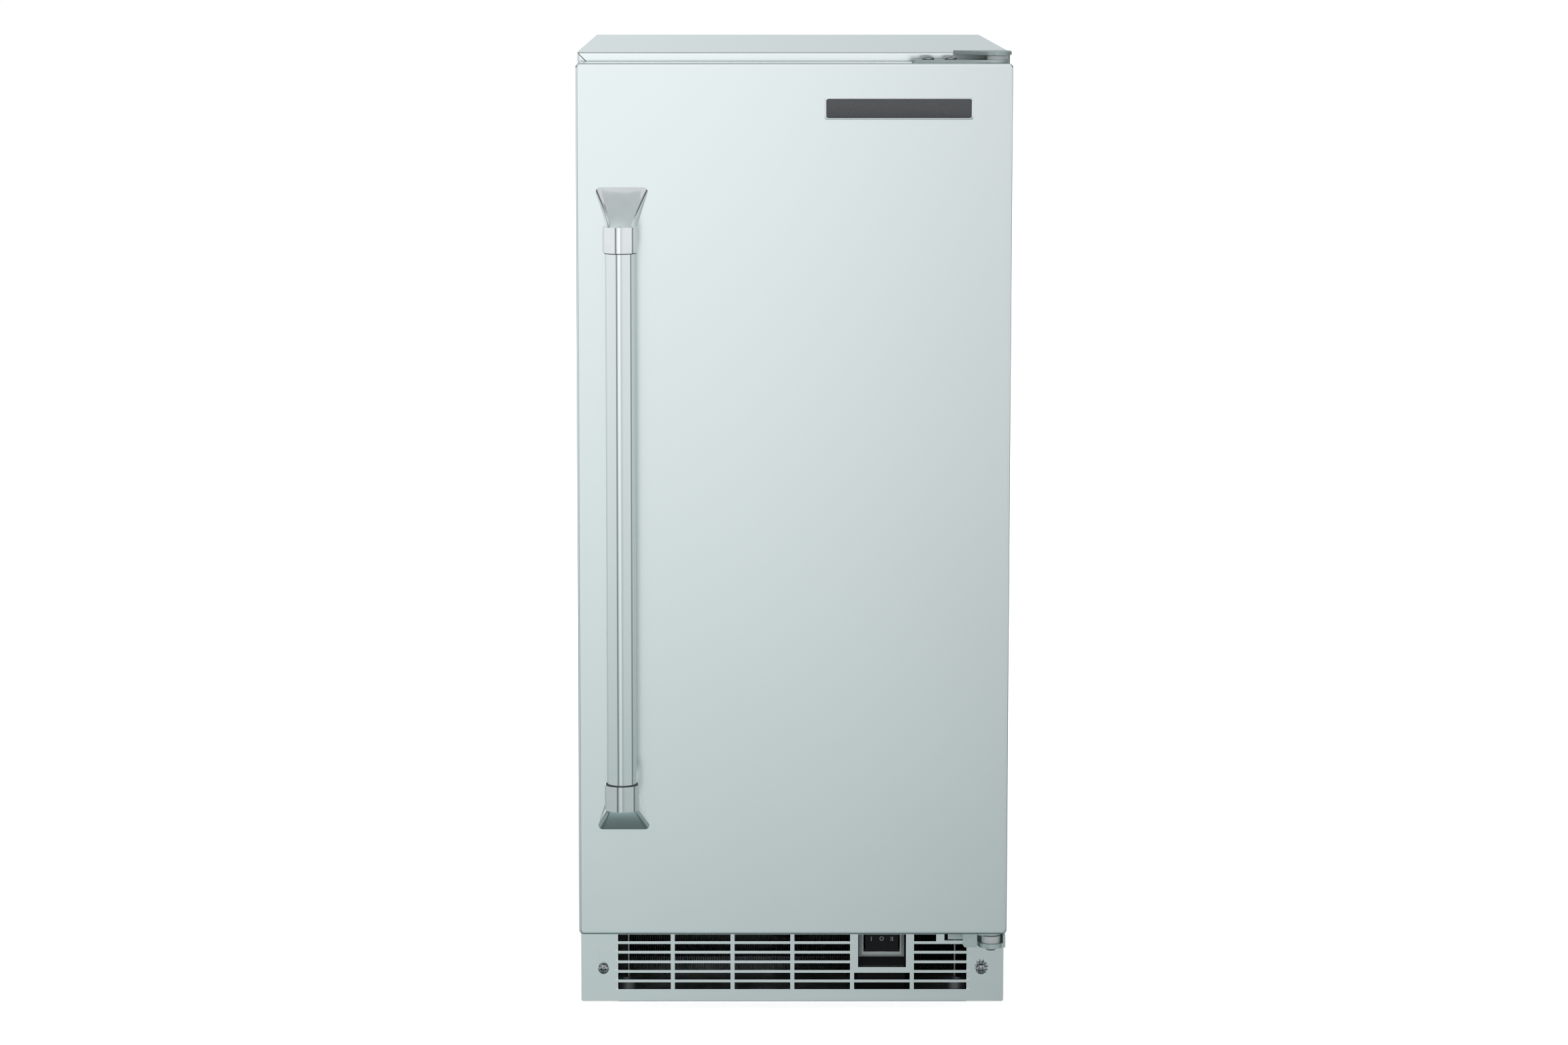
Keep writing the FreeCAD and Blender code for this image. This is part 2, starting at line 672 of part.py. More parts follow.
def base_pan():
    inner = INSIDE - BASE_SHEET
    sill = HALF - FRAME_FLANGE - SEAM
    tray = block(-INSIDE, INSIDE, INNER_FRONT, INNER_REAR, 0, BASE_FLANGE)
    tray = tray.cut(block(-inner, inner, FRONT - CUT, INNER_REAR - BASE_SHEET, BASE_SHEET, BASE_FLANGE + CUT))
    lip = block(-sill, sill, FRONT, FRONT + BASE_SHEET, 0, SILL_FLANGE)
    apron = block(-sill, sill, FRONT, INNER_FRONT + CUT, 0, BASE_SHEET)
    low = BASE_SHEET / 2
    nuts = [along_z(x, y, LEG_NUT_R, low, low + LEG_NUT_HEIGHT) for x, y in LEG_PLACES]
    return joined([tray, lip, apron] + nuts).cut(leg_holes())


def mitre(side, lower):
    """Wedge on one side of the 45 degree seam at a front top corner of the frame."""
    far = FRAME_FLANGE + 2 * CUT
    corner = (side * HALF, CABINET_HEIGHT)
    inner = (side * (HALF - far), CABINET_HEIGHT - far)
    third = (side * HALF, CABINET_HEIGHT - far) if lower else (side * (HALF - far), CABINET_HEIGHT)
    shift = SEAM if lower else -SEAM
    points = [(u, v + shift) for u, v in (corner, inner, third)]
    return prism("y", FRONT - CUT, FRONT + OUTER_BEND + SEAM / 10, points)


def hinge_screw_holes():
    low = FRONT - 2 * HINGE_SCREW_REACH
    high = FRONT + HINGE_SCREW_REACH
    return [along_y(x, z, HINGE_SCREW_R + SEAM, low, high) for x, z in HINGE_SCREW_PLACES]


def rear_screw_places():
    x = HALF - REAR_FLANGE / 2
    low = SERVICE_PANEL_TOP + BACK_SCREW_RISE
    high = CABINET_HEIGHT - BACK_SCREW_DROP
    service = (SERVICE_SCREW_RISE, SERVICE_PANEL_TOP - SERVICE_SCREW_DROP)
    heights = service + (low, (low + high) / 2, high)
    return [(side * x, z) for side in (-1, 1) for z in heights]


def rear_screw_holes():
    return [along_y(x, z, PANEL_HOLE_R, REAR_SKIN_FRONT - CUT, BACK + CUT) for x, z in rear_screw_places()]


def side_panel(side):
    inset = HALF - FRAME_FLANGE
    profile = [(HALF - REAR_FLANGE, BACK), (HALF, BACK, OUTER_BEND), (HALF, FRONT, OUTER_BEND),
               (inset, FRONT), (inset, FRONT + SHEET), (HALF - SHEET, FRONT + SHEET, BEND),
               (HALF - SHEET, BACK - SHEET, BEND), (HALF - REAR_FLANGE, BACK - SHEET)]
    profile = [(side * c[0],) + tuple(c[1:]) for c in profile]
    panel = prism("z", GRILLE_BOTTOM, CABINET_HEIGHT - SHEET - SEAM, profile)
    cuts = [mitre(side, False),
            along_y(side * ADJUST_X, ADJUST_Z, PANEL_HOLE_R, FRONT - CUT, INNER_FRONT + CUT)]
    cuts += rear_screw_holes()
    if side > 0:
        cuts += hinge_screw_holes()
    return panel.cut(cuts)


def left_side_panel():
    return side_panel(-1)


def right_side_panel():
    return side_panel(1)


def top_panel():
    top = CABINET_HEIGHT
    rear_low = top - TOP_REAR_FLANGE
    front_low = top - FRAME_FLANGE
    profile = [(FRONT, front_low), (FRONT, top, OUTER_BEND), (BACK, top, OUTER_BEND), (BACK, rear_low),
               (BACK - SHEET, rear_low), (BACK - SHEET, top - SHEET, BEND),
               (FRONT + SHEET, top - SHEET, BEND),
               (FRONT + SHEET, front_low)]
    panel = prism("x", -HALF, HALF, profile)
    cuts = [mitre(-1, True), mitre(1, True)]
    for side in (-1, 1):
        near, far = sorted((side * (HALF - REAR_FLANGE - SEAM), side * (HALF + CUT)))
        cuts.append(block(near, far, BACK - OUTER_BEND - CUT, BACK + CUT, rear_low - CUT, top - SHEET))
        near, far = sorted((side * INSIDE_BEND, side * (HALF + CUT)))
        cuts.append(block(near, far, FRONT - CUT, FRONT + OUTER_BEND, INNER_TOP, top - SHEET))
    return panel.cut(cuts + hinge_screw_holes())


def rear_openings():
    """Vent slots and connection holes in the lower rear panel."""
    y0, y1 = REAR_SKIN_FRONT - CUT, REAR_SKIN + CUT
    cuts = []
    for column in range(VENT_COLUMNS):
        x = (column - (VENT_COLUMNS - 1) / 2) * VENT_PITCH_X
        for row in range(VENT_ROWS):
            z = VENT_BOTTOM + row * VENT_PITCH_Z
            cuts.append(block(x - VENT_WIDTH / 2, x + VENT_WIDTH / 2, y0, y1, z, z + VENT_HEIGHT))
    cuts.append(along_y(INLET_X, INLET_Z, INLET_R + INLET_GAP, y0, y1))
    cuts.append(along_y(DRAIN_X, DRAIN_Z, DRAIN_THREAD_R + DRAIN_COLLAR_WALL + PORT_GAP, y0, y1))
    cuts.append(along_y(GLAND_X, GLAND_Z, GLAND_BARREL_R + PORT_GAP, y0, y1))
    return cuts


def rear_skin(z0, z1):
    skin = block(-INSIDE_BEND, INSIDE_BEND, REAR_SKIN_FRONT, REAR_SKIN, z0, z1)
    return skin.cut(rear_screw_holes())


def back_panel():
    return rear_skin(SERVICE_PANEL_TOP + SEAM, INNER_TOP)


def rear_service_panel():
    return rear_skin(GRILLE_BOTTOM, SERVICE_PANEL_TOP).cut(rear_openings())


def lower_front_panel():
    edge = HALF - FRAME_FLANGE - SEAM
    low = GRILLE_TOP + FRONT_PANEL_RISE
    high = BIN_FLOOR - CUT
    back = FRONT + FRONT_PANEL_RETURN
    profile = [(FRONT, high), (FRONT, low, OUTER_BEND), (back, low), (back, low + SHEET),
               (FRONT + SHEET, low + SHEET, BEND), (FRONT + SHEET, high)]
    return prism("x", -edge, edge, profile)


def liner_solid(grow, start):
    """Bin cavity grown outwards by a wall or a clearance."""
    half = BIN_HALF + grow
    rear = BIN_REAR + grow
    corner = BIN_CORNER + grow
    cavity = prism("y", start, rear, rounded(-half, half, BIN_FLOOR - grow, BIN_TOP + grow, corner))
    return cavity.makeFillet(corner - BIN_REAR_EASE, edges_in_plane(cavity, "Y", rear))


def bin_lip(grow):
    reach = BIN_LIP + grow
    half = BIN_HALF + reach
    plan = rounded(-half, half, BIN_FLOOR - reach, BIN_TOP + reach, BIN_LIP_CORNER)
    return prism("y", LINER_FRONT, LINER_FRONT + BIN_WALL + grow, plan)


def bin_liner():
    shell = joined([liner_solid(BIN_WALL, LINER_FRONT), bin_lip(0)])
    near, far = BIN_REAR - PORT_REACH, BIN_REAR + BIN_WALL + PORT_REACH
    tubes = [(SUCTION_X, COIL_Z, COIL_R), (FEED_X, COIL_Z, COIL_R),
             (WATER_TUBE_X, WATER_TUBE_Z, WATER_TUBE_R)]
    ports = [along_y(x, z, r + LINER_PORT_GAP, near, far) for x, z, r in tubes]
    low, high = BIN_FLOOR - BIN_WALL - PORT_REACH, BIN_FLOOR + PORT_REACH
    ports.append(along_z(DRAIN_X, DRAIN_Y, DRAIN_R + LINER_PORT_GAP, low, high))
    return shell.cut([liner_solid(0, FRONT)] + ports)


def riser_channels(clearance, low):
    """Tubes that run down inside the rear insulation and through the deck."""
    places = [(SUCTION_X, COIL_R, COIL_Z), (FEED_X, COIL_R, COIL_Z),
              (WATER_TUBE_X, WATER_TUBE_R, WATER_TUBE_Z)]
    return [along_z(x, LINE_Y, r + clearance, low, z + RISER_HEADROOM) for x, r, z in places]


def insulation():
    foam = block(-INSIDE, INSIDE, INNER_FRONT, INNER_REAR, DECK_TOP + SEAM, INNER_TOP)
    cuts = [liner_solid(BIN_WALL + SEAM, LINER_FRONT), bin_lip(SEAM)]
    cuts += riser_channels(FOAM_GAP, DECK_TOP)
    far = LINE_Y + COIL_R
    for x, z, r in ((SUCTION_X, COIL_Z, COIL_R), (FEED_X, COIL_Z, COIL_R),
                    (WATER_TUBE_X, WATER_TUBE_Z, WATER_TUBE_R)):
        cuts.append(along_y(x, z, r + FOAM_GAP, BIN_REAR - CUT, far))
    cuts.append(along_z(DRAIN_X, DRAIN_Y, DRAIN_R + FOAM_GAP, DECK_TOP - CUT, BIN_FLOOR + CUT))
    return foam.cut(cuts + hinge_screw_holes())


def compartment_deck():
    low = DECK_TOP - DECK_FLANGE
    sheet = block(-INSIDE, INSIDE, INNER_FRONT, INNER_REAR, low, DECK_TOP)
    hollow = block(-INSIDE + SHEET, INSIDE - SHEET, FRONT, INNER_REAR + CUT, low - CUT, DECK_TOP - SHEET)
    holes = riser_channels(DECK_GAP, low - CUT)
    holes.append(along_z(DRAIN_X, DRAIN_Y, DRAIN_R + DECK_GAP, low - CUT, DECK_TOP + CUT))
    return sheet.cut([hollow] + holes)


def screw(x, y, z, facing, head, shank):
    """Pan-head screw with its head outwards along Y (facing -1 front, +1 back).

    The head is (rim radius, top radius, height) and the shank (radius, length).
    """
    rim, top, height = head
    cap = Part.makeCone(rim, top, height, V(x, y, z), V(0, facing, 0))
    return joined([cap, rod((x, y, z), (0, -facing, 0), *shank)])


def cabinet_screws():
    head = (PANEL_HEAD_R, PANEL_HEAD_TOP_R, PANEL_HEAD_HEIGHT)
    shank = (PANEL_SCREW_R, 2 * (SHEET + SEAM))
    rear = [screw(x, BACK + SEAM, z, 1, head, shank) for x, z in rear_screw_places()]
    head = (HINGE_HEAD_R, HINGE_HEAD_TOP_R, HINGE_HEAD_HEIGHT)
    shank = (HINGE_SCREW_R - SEAM, HINGE_PLATE + SHEET + HINGE_SCREW_END)
    leg_y = HINGE_FACE - HINGE_PLATE - SEAM
    legs = [screw(x, leg_y, z, -1, head, shank) for x, z in HINGE_SCREW_PLACES]
    return Part.makeCompound(rear + legs)


# Kick grille and switch


def grille_slots(y0, y1):
    slots = []
    for column in range(GRILLE_COLUMNS):
        x = (column - (GRILLE_COLUMNS - 1) / 2) * SLOT_PITCH_X
        for row in range(GRILLE_ROWS):
            z = SLOT_BOTTOM + row * SLOT_PITCH_Z
            if column == WINDOW_COLUMN and z + SLOT_HEIGHT > WINDOW_BOTTOM:
                continue
            beside_hinge = column == GRILLE_COLUMNS - 1 and row == GRILLE_ROWS - 1
            right = x + SLOT_WIDTH / 2 - (HINGE_SLOT_CUT if beside_hinge else 0)
            slots.append(block(x - SLOT_WIDTH / 2, right, y0, y1, z, z + SLOT_HEIGHT))
    return slots


def kick_grille():
    plate = prism("y", GRILLE_FACE, FRONT - SEAM,
                  rounded(-HALF, HALF, GRILLE_BOTTOM, GRILLE_TOP, GRILLE_CORNER))
    y0, y1 = GRILLE_FACE - CUT, FRONT + CUT
    cuts = grille_slots(y0, y1)
    left, right = WINDOW_X - WINDOW_WIDTH / 2, WINDOW_X + WINDOW_WIDTH / 2
    cuts.append(block(left, right, y0, y1, WINDOW_BOTTOM, WINDOW_TOP))
    half = ADJUST_WIDTH / 2
    for x in (-ADJUST_X, ADJUST_X):
        plan = rounded(x - half, x + half, ADJUST_Z - half, ADJUST_TOP, half - SEAM)
        cuts.append(prism("y", y0, y1, plan))
    hinge_left = AXIS_X - ARM_BASE_LEFT - HINGE_CLEAR
    cuts.append(block(hinge_left, HALF + CUT, y0, y1, LOWER_ARM_Z - HINGE_CLEAR / 2, GRILLE_TOP + CUT))
    lip_front = FRONT - SEAM - GRILLE_SHEET / 2
    lip = block(left, right, lip_front, FRONT + WINDOW_LIP, WINDOW_BOTTOM - GRILLE_SHEET, WINDOW_BOTTOM)
    return joined([plate.cut(cuts), lip])


def grille_screws():
    head = (GRILLE_SCREW_R, GRILLE_SCREW_TOP_R, GRILLE_SCREW_HEIGHT)
    shank = (PANEL_SCREW_R, GRILLE_SCREW_SHANK)
    places = (-ADJUST_X, ADJUST_X)
    return Part.makeCompound([screw(x, GRILLE_FACE - SEAM, ADJUST_Z, -1, head, shank) for x in places])


def control_box():
    y0 = BEZEL_Y + BEZEL_DEPTH + SEAM
    y1 = y0 + CONTROL_BOX_DEPTH
    half = BEZEL_WIDTH / 2 + CONTROL_BOX_SIDE
    top = BEZEL_LOW + BEZEL_HEIGHT + CONTROL_BOX_RISE
    box = block(WINDOW_X - half, WINDOW_X + half, y0, y1, BASE_SHEET + SEAM, top)
    room = ROCKER_HEIGHT / 2 + ROCKER_ROOM
    pocket = block(WINDOW_X - ROCKER_SLOT, WINDOW_X + ROCKER_SLOT, y0 - CUT, y1 - CONTROL_BOX_WALL,
                   ROCKER_Z - room, ROCKER_Z + room)
    return box.makeFillet(CONTROL_BOX_EDGE, upright_edges(box)).cut(pocket)


def switch_bezel():
    half = BEZEL_WIDTH / 2
    rear = BEZEL_Y + BEZEL_DEPTH
    frame = block(WINDOW_X - half, WINDOW_X + half, BEZEL_Y, rear, BEZEL_LOW, BEZEL_LOW + BEZEL_HEIGHT)
    frame = frame.makeChamfer(BEZEL_CHAMFER, edges_in_plane(frame, "Y", BEZEL_Y))
    gap = ROCKER_HEIGHT / 2 + ROCKER_GAP
    slot = block(WINDOW_X - ROCKER_SLOT, WINDOW_X + ROCKER_SLOT, BEZEL_Y - CUT, rear + CUT, ROCKER_Z - gap,
                 ROCKER_Z + gap)
    reach = gap + ROCKER_PIN_LENGTH
    bore = along_z(WINDOW_X, ROCKER_PIN_Y, ROCKER_PIN_R + RUNNING_FIT, ROCKER_Z - reach, ROCKER_Z + reach)
    return frame.cut([slot, bore])


def switch_rocker():
    x = WINDOW_X
    half = ROCKER_WIDTH / 2
    tall = ROCKER_HEIGHT / 2
    face = BEZEL_Y - ROCKER_PROUD
    skirt = ROCKER_PIN_Y + ROCKER_SKIRT
    foot = ROCKER_PIN_Y + ROCKER_FOOT_DEPTH
    profile = [(x - half, face), (x, face + ROCKER_DISH), (x + half, face), (x + half, skirt),
               (x + ROCKER_FOOT, foot, ROCKER_FOOT_EDGE), (x - ROCKER_FOOT, foot, ROCKER_FOOT_EDGE),
               (x - half, skirt)]
    paddle = prism("z", ROCKER_Z - tall, ROCKER_Z + tall, profile)
    reach = tall + ROCKER_PIN_LENGTH
    return joined([paddle, along_z(x, ROCKER_PIN_Y, ROCKER_PIN_R, ROCKER_Z - reach, ROCKER_Z + reach)])


# Hinges


def on_axis(radius, z0, z1):
    return along_z(AXIS_X, AXIS_Y, radius, z0, z1)


def arm_plan(radius, base_left, z0, z1):
    """Cabinet arm: wide on the cabinet, slanting in to a round end about the pin."""
    base = V(AXIS_X - base_left, HINGE_FACE - HINGE_PLATE, z0)
    centre = V(AXIS_X, AXIS_Y, z0)
    to_base = base.sub(centre)
    turn = math.acos(radius / to_base.Length)
    heading = math.atan2(to_base.y, to_base.x) + turn
    touch = V(AXIS_X + radius * math.cos(heading), AXIS_Y + radius * math.sin(heading), z0)
    nose = V(AXIS_X, AXIS_Y - radius, z0)
    side = V(AXIS_X + radius, AXIS_Y, z0)
    rear_right = V(AXIS_X + radius, HINGE_FACE, z0)
    rear_left = V(base.x, HINGE_FACE, z0)
    edges = [Part.LineSegment(rear_left, base).toShape(), Part.LineSegment(base, touch).toShape(),
             Part.Arc(touch, nose, side).toShape(), Part.LineSegment(side, rear_right).toShape(),
             Part.LineSegment(rear_right, rear_left).toShape()]
    return Part.Face(Part.Wire(edges)).extrude(V(0, 0, z1 - z0))


def hinge_leg(z0, z1):
    leg = block(AXIS_X - ARM_BASE_LEFT, HINGE_EDGE, HINGE_FACE - HINGE_PLATE, HINGE_FACE, z0, z1)
    return leg.cut(hinge_screw_holes())


def upper_hinge_bracket():
    arm = arm_plan(UPPER_ARM_R, ARM_BASE_LEFT, UPPER_ARM_Z, UPPER_ARM_TOP)
    leg = hinge_leg(CABINET_HEIGHT - HINGE_LEG, UPPER_ARM_TOP)
    pin = on_axis(PIN_R, DOOR_TOP - BUSH_DEPTH + PIN_END_GAP, UPPER_ARM_TOP)
    return joined([arm, leg, pin])


def lower_hinge_bracket():
    arm = arm_plan(LOWER_ARM_R, LOWER_ARM_BASE, LOWER_ARM_Z, LOWER_ARM_TOP)
    leg = hinge_leg(LOWER_ARM_Z, DOOR_BOTTOM + LOWER_LEG_RISE)
    front = AXIS_Y - UPSTAND_FRONT
    inner = HINGE_EDGE - UPSTAND
    web = block(inner - UPSTAND_WEB, HINGE_EDGE, front, HINGE_FACE, LOWER_ARM_Z, LOWER_ARM_TOP)
    upstand = block(inner, HINGE_EDGE, front, HINGE_FACE, LOWER_ARM_Z, LOWER_PLATE_Z - UPSTAND_GAP)
    hole = on_axis(PIN_R + SEAM, LOWER_ARM_Z - CUT, LOWER_ARM_TOP + CUT)
    return joined([arm, leg, web, upstand]).cut(hole)


def lower_hinge_pin():
    seat = LOWER_ARM_Z - SEAM
    head = on_axis(PIN_HEAD_R, seat - PIN_HEAD_HEIGHT, seat)
    head = head.makeChamfer(PIN_HEAD_CHAMFER, edges_in_plane(head, "Z", seat - PIN_HEAD_HEIGHT))
    return joined([head, on_axis(PIN_R, seat - CUT, DOOR_BOTTOM + BUSH_DEPTH - PIN_END_GAP)])


def lower_thrust_washer():
    low = LOWER_ARM_TOP + SEAM
    high = LOWER_PLATE_Z - SEAM - LOWER_BUSH_FLANGE - WORKING_GAP
    return on_axis(THRUST_WASHER_R, low, high).cut(on_axis(PIN_R + RUNNING_FIT, low, high))


def upper_door_plate():
    z0, z1 = DOOR_TOP + SEAM, DOOR_TOP + DOOR_PLATE
    left, right = AXIS_X - UPPER_PLATE_LENGTH, AXIS_X + DOOR_PLATE_R
    near, far = AXIS_Y - DOOR_PLATE_R, AXIS_Y + DOOR_PLATE_R
    profile = [(left, near, DOOR_PLATE_CORNER), (right, near, DOOR_PLATE_ROUND),
               (right, far, DOOR_PLATE_ROUND),
               (left, far, DOOR_PLATE_CORNER)]
    cuts = [on_axis(BUSH_R + SEAM, z0 - CUT, z1 + CUT)]
    cuts += [along_z(AXIS_X - d, AXIS_Y, DOME_HOLE_R, z0 - CUT, z1 + CUT) for d in DOME_SCREW_PLACES]
    return prism("z", z0, z1, profile).cut(cuts)


def lower_door_plate():
    z0, z1 = LOWER_PLATE_Z, DOOR_BOTTOM - SEAM
    front = AXIS_Y - STOP_TAB_FRONT
    near, far = AXIS_Y - DOOR_PLATE_R, AXIS_Y + DOOR_PLATE_R
    left, right = AXIS_X - LOWER_PLATE_LENGTH, AXIS_X + DOOR_PLATE_R
    inner = AXIS_X - STOP_TAB_INNER
    outer = inner - STOP_TAB_WIDTH
    corner, round_r = STOP_PLATE_CORNER, DOOR_PLATE_ROUND
    profile = [(left, front, corner), (inner, front), (inner, near, corner), (right, near, round_r),
               (right, far, round_r), (left, far, corner)]
    plate = prism("z", z0, z1, profile)
    low = z0 - STOP_TAB_DROP
    plan = [(outer, low, STOP_TAB_ROUND), (inner, low, STOP_TAB_EDGE), (inner, z1), (outer, z1)]
    tab = prism("y", front, front + DOOR_PLATE, plan)
    return joined([plate, tab]).cut(on_axis(BUSH_R + SEAM, z0 - CUT, z1 + CUT))


def upper_hinge_bush():
    low = DOOR_TOP - BUSH_DEPTH
    barrel = on_axis(BUSH_R, low, UPPER_FLANGE_TOP)
    flange = on_axis(UPPER_BUSH_FLANGE_R, UPPER_FLANGE_LOW, UPPER_FLANGE_TOP)
    return joined([barrel, flange]).cut(on_axis(PIN_R + RUNNING_FIT, low, UPPER_FLANGE_TOP))


def lower_hinge_bush():
    low = LOWER_PLATE_Z - SEAM - LOWER_BUSH_FLANGE
    high = DOOR_BOTTOM + BUSH_DEPTH
    flange = on_axis(LOWER_BUSH_FLANGE_R, low, low + LOWER_BUSH_FLANGE)
    return joined([on_axis(BUSH_R, low, high), flange]).cut(on_axis(PIN_R + RUNNING_FIT, low, high))


def door_plate_screws():
    z = UPPER_FLANGE_LOW
    top = z + DOME_SCREW_HEIGHT
    dome = [(0, z), (DOME_SCREW_R, z), (DOME_SCREW_R, top, DOME_SCREW_HEIGHT - DOME_SCREW_RIM), (0, top)]
    screws = []
    for distance in DOME_SCREW_PLACES:
        x = AXIS_X - distance
        shank = along_z(x, AXIS_Y, DOME_SHANK_R, DOOR_TOP - DOME_SHANK, z)
        screws.append(joined([turned(dome, x, AXIS_Y), shank]))
    return Part.makeCompound(screws)


# Door


def door_body(inset):
    half = HALF - inset
    plan = rounded(-half, half, DOOR_BOTTOM + inset, DOOR_TOP - inset, DOOR_CORNER - inset)
    body = prism("y", DOOR_FRONT + inset, DOOR_REAR - inset, plan)
    return body.makeFillet(DOOR_EDGE - inset, edges_in_plane(body, "Y", DOOR_FRONT + inset))


def door_fixings():
    """Bores for the two bushes and the plate screws."""
    depth = BUSH_DEPTH + BUSH_END_GAP
    holes = [on_axis(BUSH_R + SEAM, DOOR_TOP - depth, DOOR_TOP + CUT),
             on_axis(BUSH_R + SEAM, DOOR_BOTTOM - CUT, DOOR_BOTTOM + depth)]
    low = DOOR_TOP - DOME_SHANK - BUSH_END_GAP
    holes += [along_z(AXIS_X - d, AXIS_Y, DOME_HOLE_R, low, DOOR_TOP + CUT) for d in DOME_SCREW_PLACES]
    return holes


def door_skin():
    half = HALF - DOOR_RETURN
    plan = rounded(-half, half, DOOR_BOTTOM + DOOR_RETURN, DOOR_TOP - DOOR_RETURN, DOOR_CORNER)
    opening = prism("y", DOOR_REAR - SHEET - CUT, DOOR_REAR + CUT, plan)
    return door_body(0).cut([door_body(SHEET), opening] + door_fixings())


def door_core():
    return door_body(SHEET + SEAM).cut(door_fixings())


def door_liner():
    y0 = DOOR_REAR + SEAM
    y1 = DOOR_REAR + LINER_SHEET
    y2 = y1 + DIKE_DEPTH
    edge = HALF - LINER_INSET
    sheet = prism("y", y0, y1,
                  rounded(-edge, edge, DOOR_BOTTOM + LINER_INSET, DOOR_TOP - LINER_INSET, LINER_CORNER))
    half = BIN_HALF - DIKE_GAP
    low, high = BIN_FLOOR + DIKE_GAP, BIN_TOP - DIKE_GAP
    dike = prism("y", y0, y2, rounded(-half, half, low, high, DIKE_CORNER))
    dike = dike.makeFillet(DIKE_EDGE, edges_in_plane(dike, "Y", y2))
    inner = half - DIKE_RIM
    plan = rounded(-inner, inner, low + DIKE_RIM, high - DIKE_RIM, WELL_CORNER)
    return joined([sheet, dike]).cut(prism("y", y1 + WELL_FLOOR, y2 + CUT, plan))


def frame_ring(inset, width, y0, y1):
    outer = HALF - inset
    inner = outer - width
    low, high = DOOR_BOTTOM + inset, DOOR_TOP - inset
    hole = block(-inner, inner, y0 - CUT, y1 + CUT, low + width, high - width)
    return block(-outer, outer, y0, y1, low, high).cut(hole)


def door_gasket():
    y0 = DOOR_REAR + LINER_SHEET + SEAM
    y1 = FRONT - GASKET_CLEARANCE
    neck = frame_ring(GASKET_INSET + GASKET_NECK, GASKET_WIDTH - 2 * GASKET_NECK, y0 + GASKET_LIP,
                      y1 - GASKET_LIP)
    return joined([frame_ring(GASKET_INSET, GASKET_WIDTH, y0, y0 + GASKET_LIP), neck,
                   frame_ring(GASKET_INSET, GASKET_WIDTH, y1 - GASKET_LIP, y1)])


# Handle


def handle_tube():
    reach = HANDLE_COLLAR_DROP - HANDLE_SOCKET
    low, high = HANDLE_BOTTOM + reach, HANDLE_TOP - reach
    start = (HANDLE_X, HANDLE_Y, low)
    return ring(start, (0, 0, 1), HANDLE_TUBE_R, HANDLE_TUBE_R - HANDLE_WALL, high - low)


def sagged(start, end, sag):
    """Arc from start to end whose middle is pulled sideways by the sag."""
    chord = end.sub(start)
    middle = start.add(end).multiply(0.5)
    across = V(chord.y, -chord.x, 0).normalize().multiply(sag)
    return Part.Arc(start, middle.add(across), end).toShape()


def neck_point(degrees):
    """Point of the slanting section where the cast end runs into its collar."""
    angle = math.radians(degrees)
    radius = HANDLE_COLLAR_R - HANDLE_NECK_INSET
    slant = HANDLE_NECK_TILT * (1 - math.cos(angle)) / 2
    drop = HANDLE_NECK_DROP + HANDLE_NECK_DEPTH + slant
    return V(radius * math.sin(angle), -HANDLE_REACH - radius * math.cos(angle), -drop)


def neck_section():
    angles = [crease + side * HANDLE_CREASE_SPAN for crease in HANDLE_CREASES for side in (-1, 1)]
    ends = angles[1:] + [angles[0] + 360]
    arcs = [Part.Arc(neck_point(a), neck_point((a + b) / 2), neck_point(b)) for a, b in zip(angles, ends)]
    return Part.Wire([arc.toShape() for arc in arcs])


def four_sided(upper, lower, radius):
    """Rounded wire through two mirrored pairs of corners, each (half width, reach, drop)."""
    corners = [(-upper[0], upper), (upper[0], upper), (lower[0], lower), (-lower[0], lower)]
    return Part.Wire(edges_through([(V(x, -reach, -drop), radius) for x, (_, reach, drop) in corners], True))


def handle_end_upper():
    """Cast end: a flared foot on the door that sweeps out into the collar round the tube."""
    wide, reach_high, drop_high = HANDLE_WAIST_UPPER
    narrow, reach_low, drop_low = HANDLE_WAIST_LOWER
    foot = four_sided((HANDLE_BASE_WIDTH / 2, 0, 0), (HANDLE_BASE_FOOT / 2, 0, HANDLE_BASE_HEIGHT),
                      HANDLE_BASE_ROUND)
    waist = four_sided((wide, reach_high * HANDLE_REACH, drop_high),
                       (narrow, reach_low * HANDLE_REACH, drop_low),
                       HANDLE_WAIST_ROUND)
    flare = Part.makeLoft([foot, waist, neck_section()], True, False)
    low = -HANDLE_COLLAR_DROP
    collar = along_z(0, -HANDLE_REACH, HANDLE_COLLAR_R, low, -HANDLE_NECK_DROP)
    bore = along_z(0, -HANDLE_REACH, HANDLE_TUBE_R + SEAM, low - CUT, low + HANDLE_SOCKET + 2 * SEAM)
    body = flare.fuse(collar).cut(bore)
    return body.translated(V(HANDLE_X, DOOR_FRONT - SEAM, HANDLE_TOP))


def handle_end_lower():
    return handle_end_upper().mirror(V(0, 0, HANDLE_CENTRE_Z), V(0, 0, 1))


# Freezing section


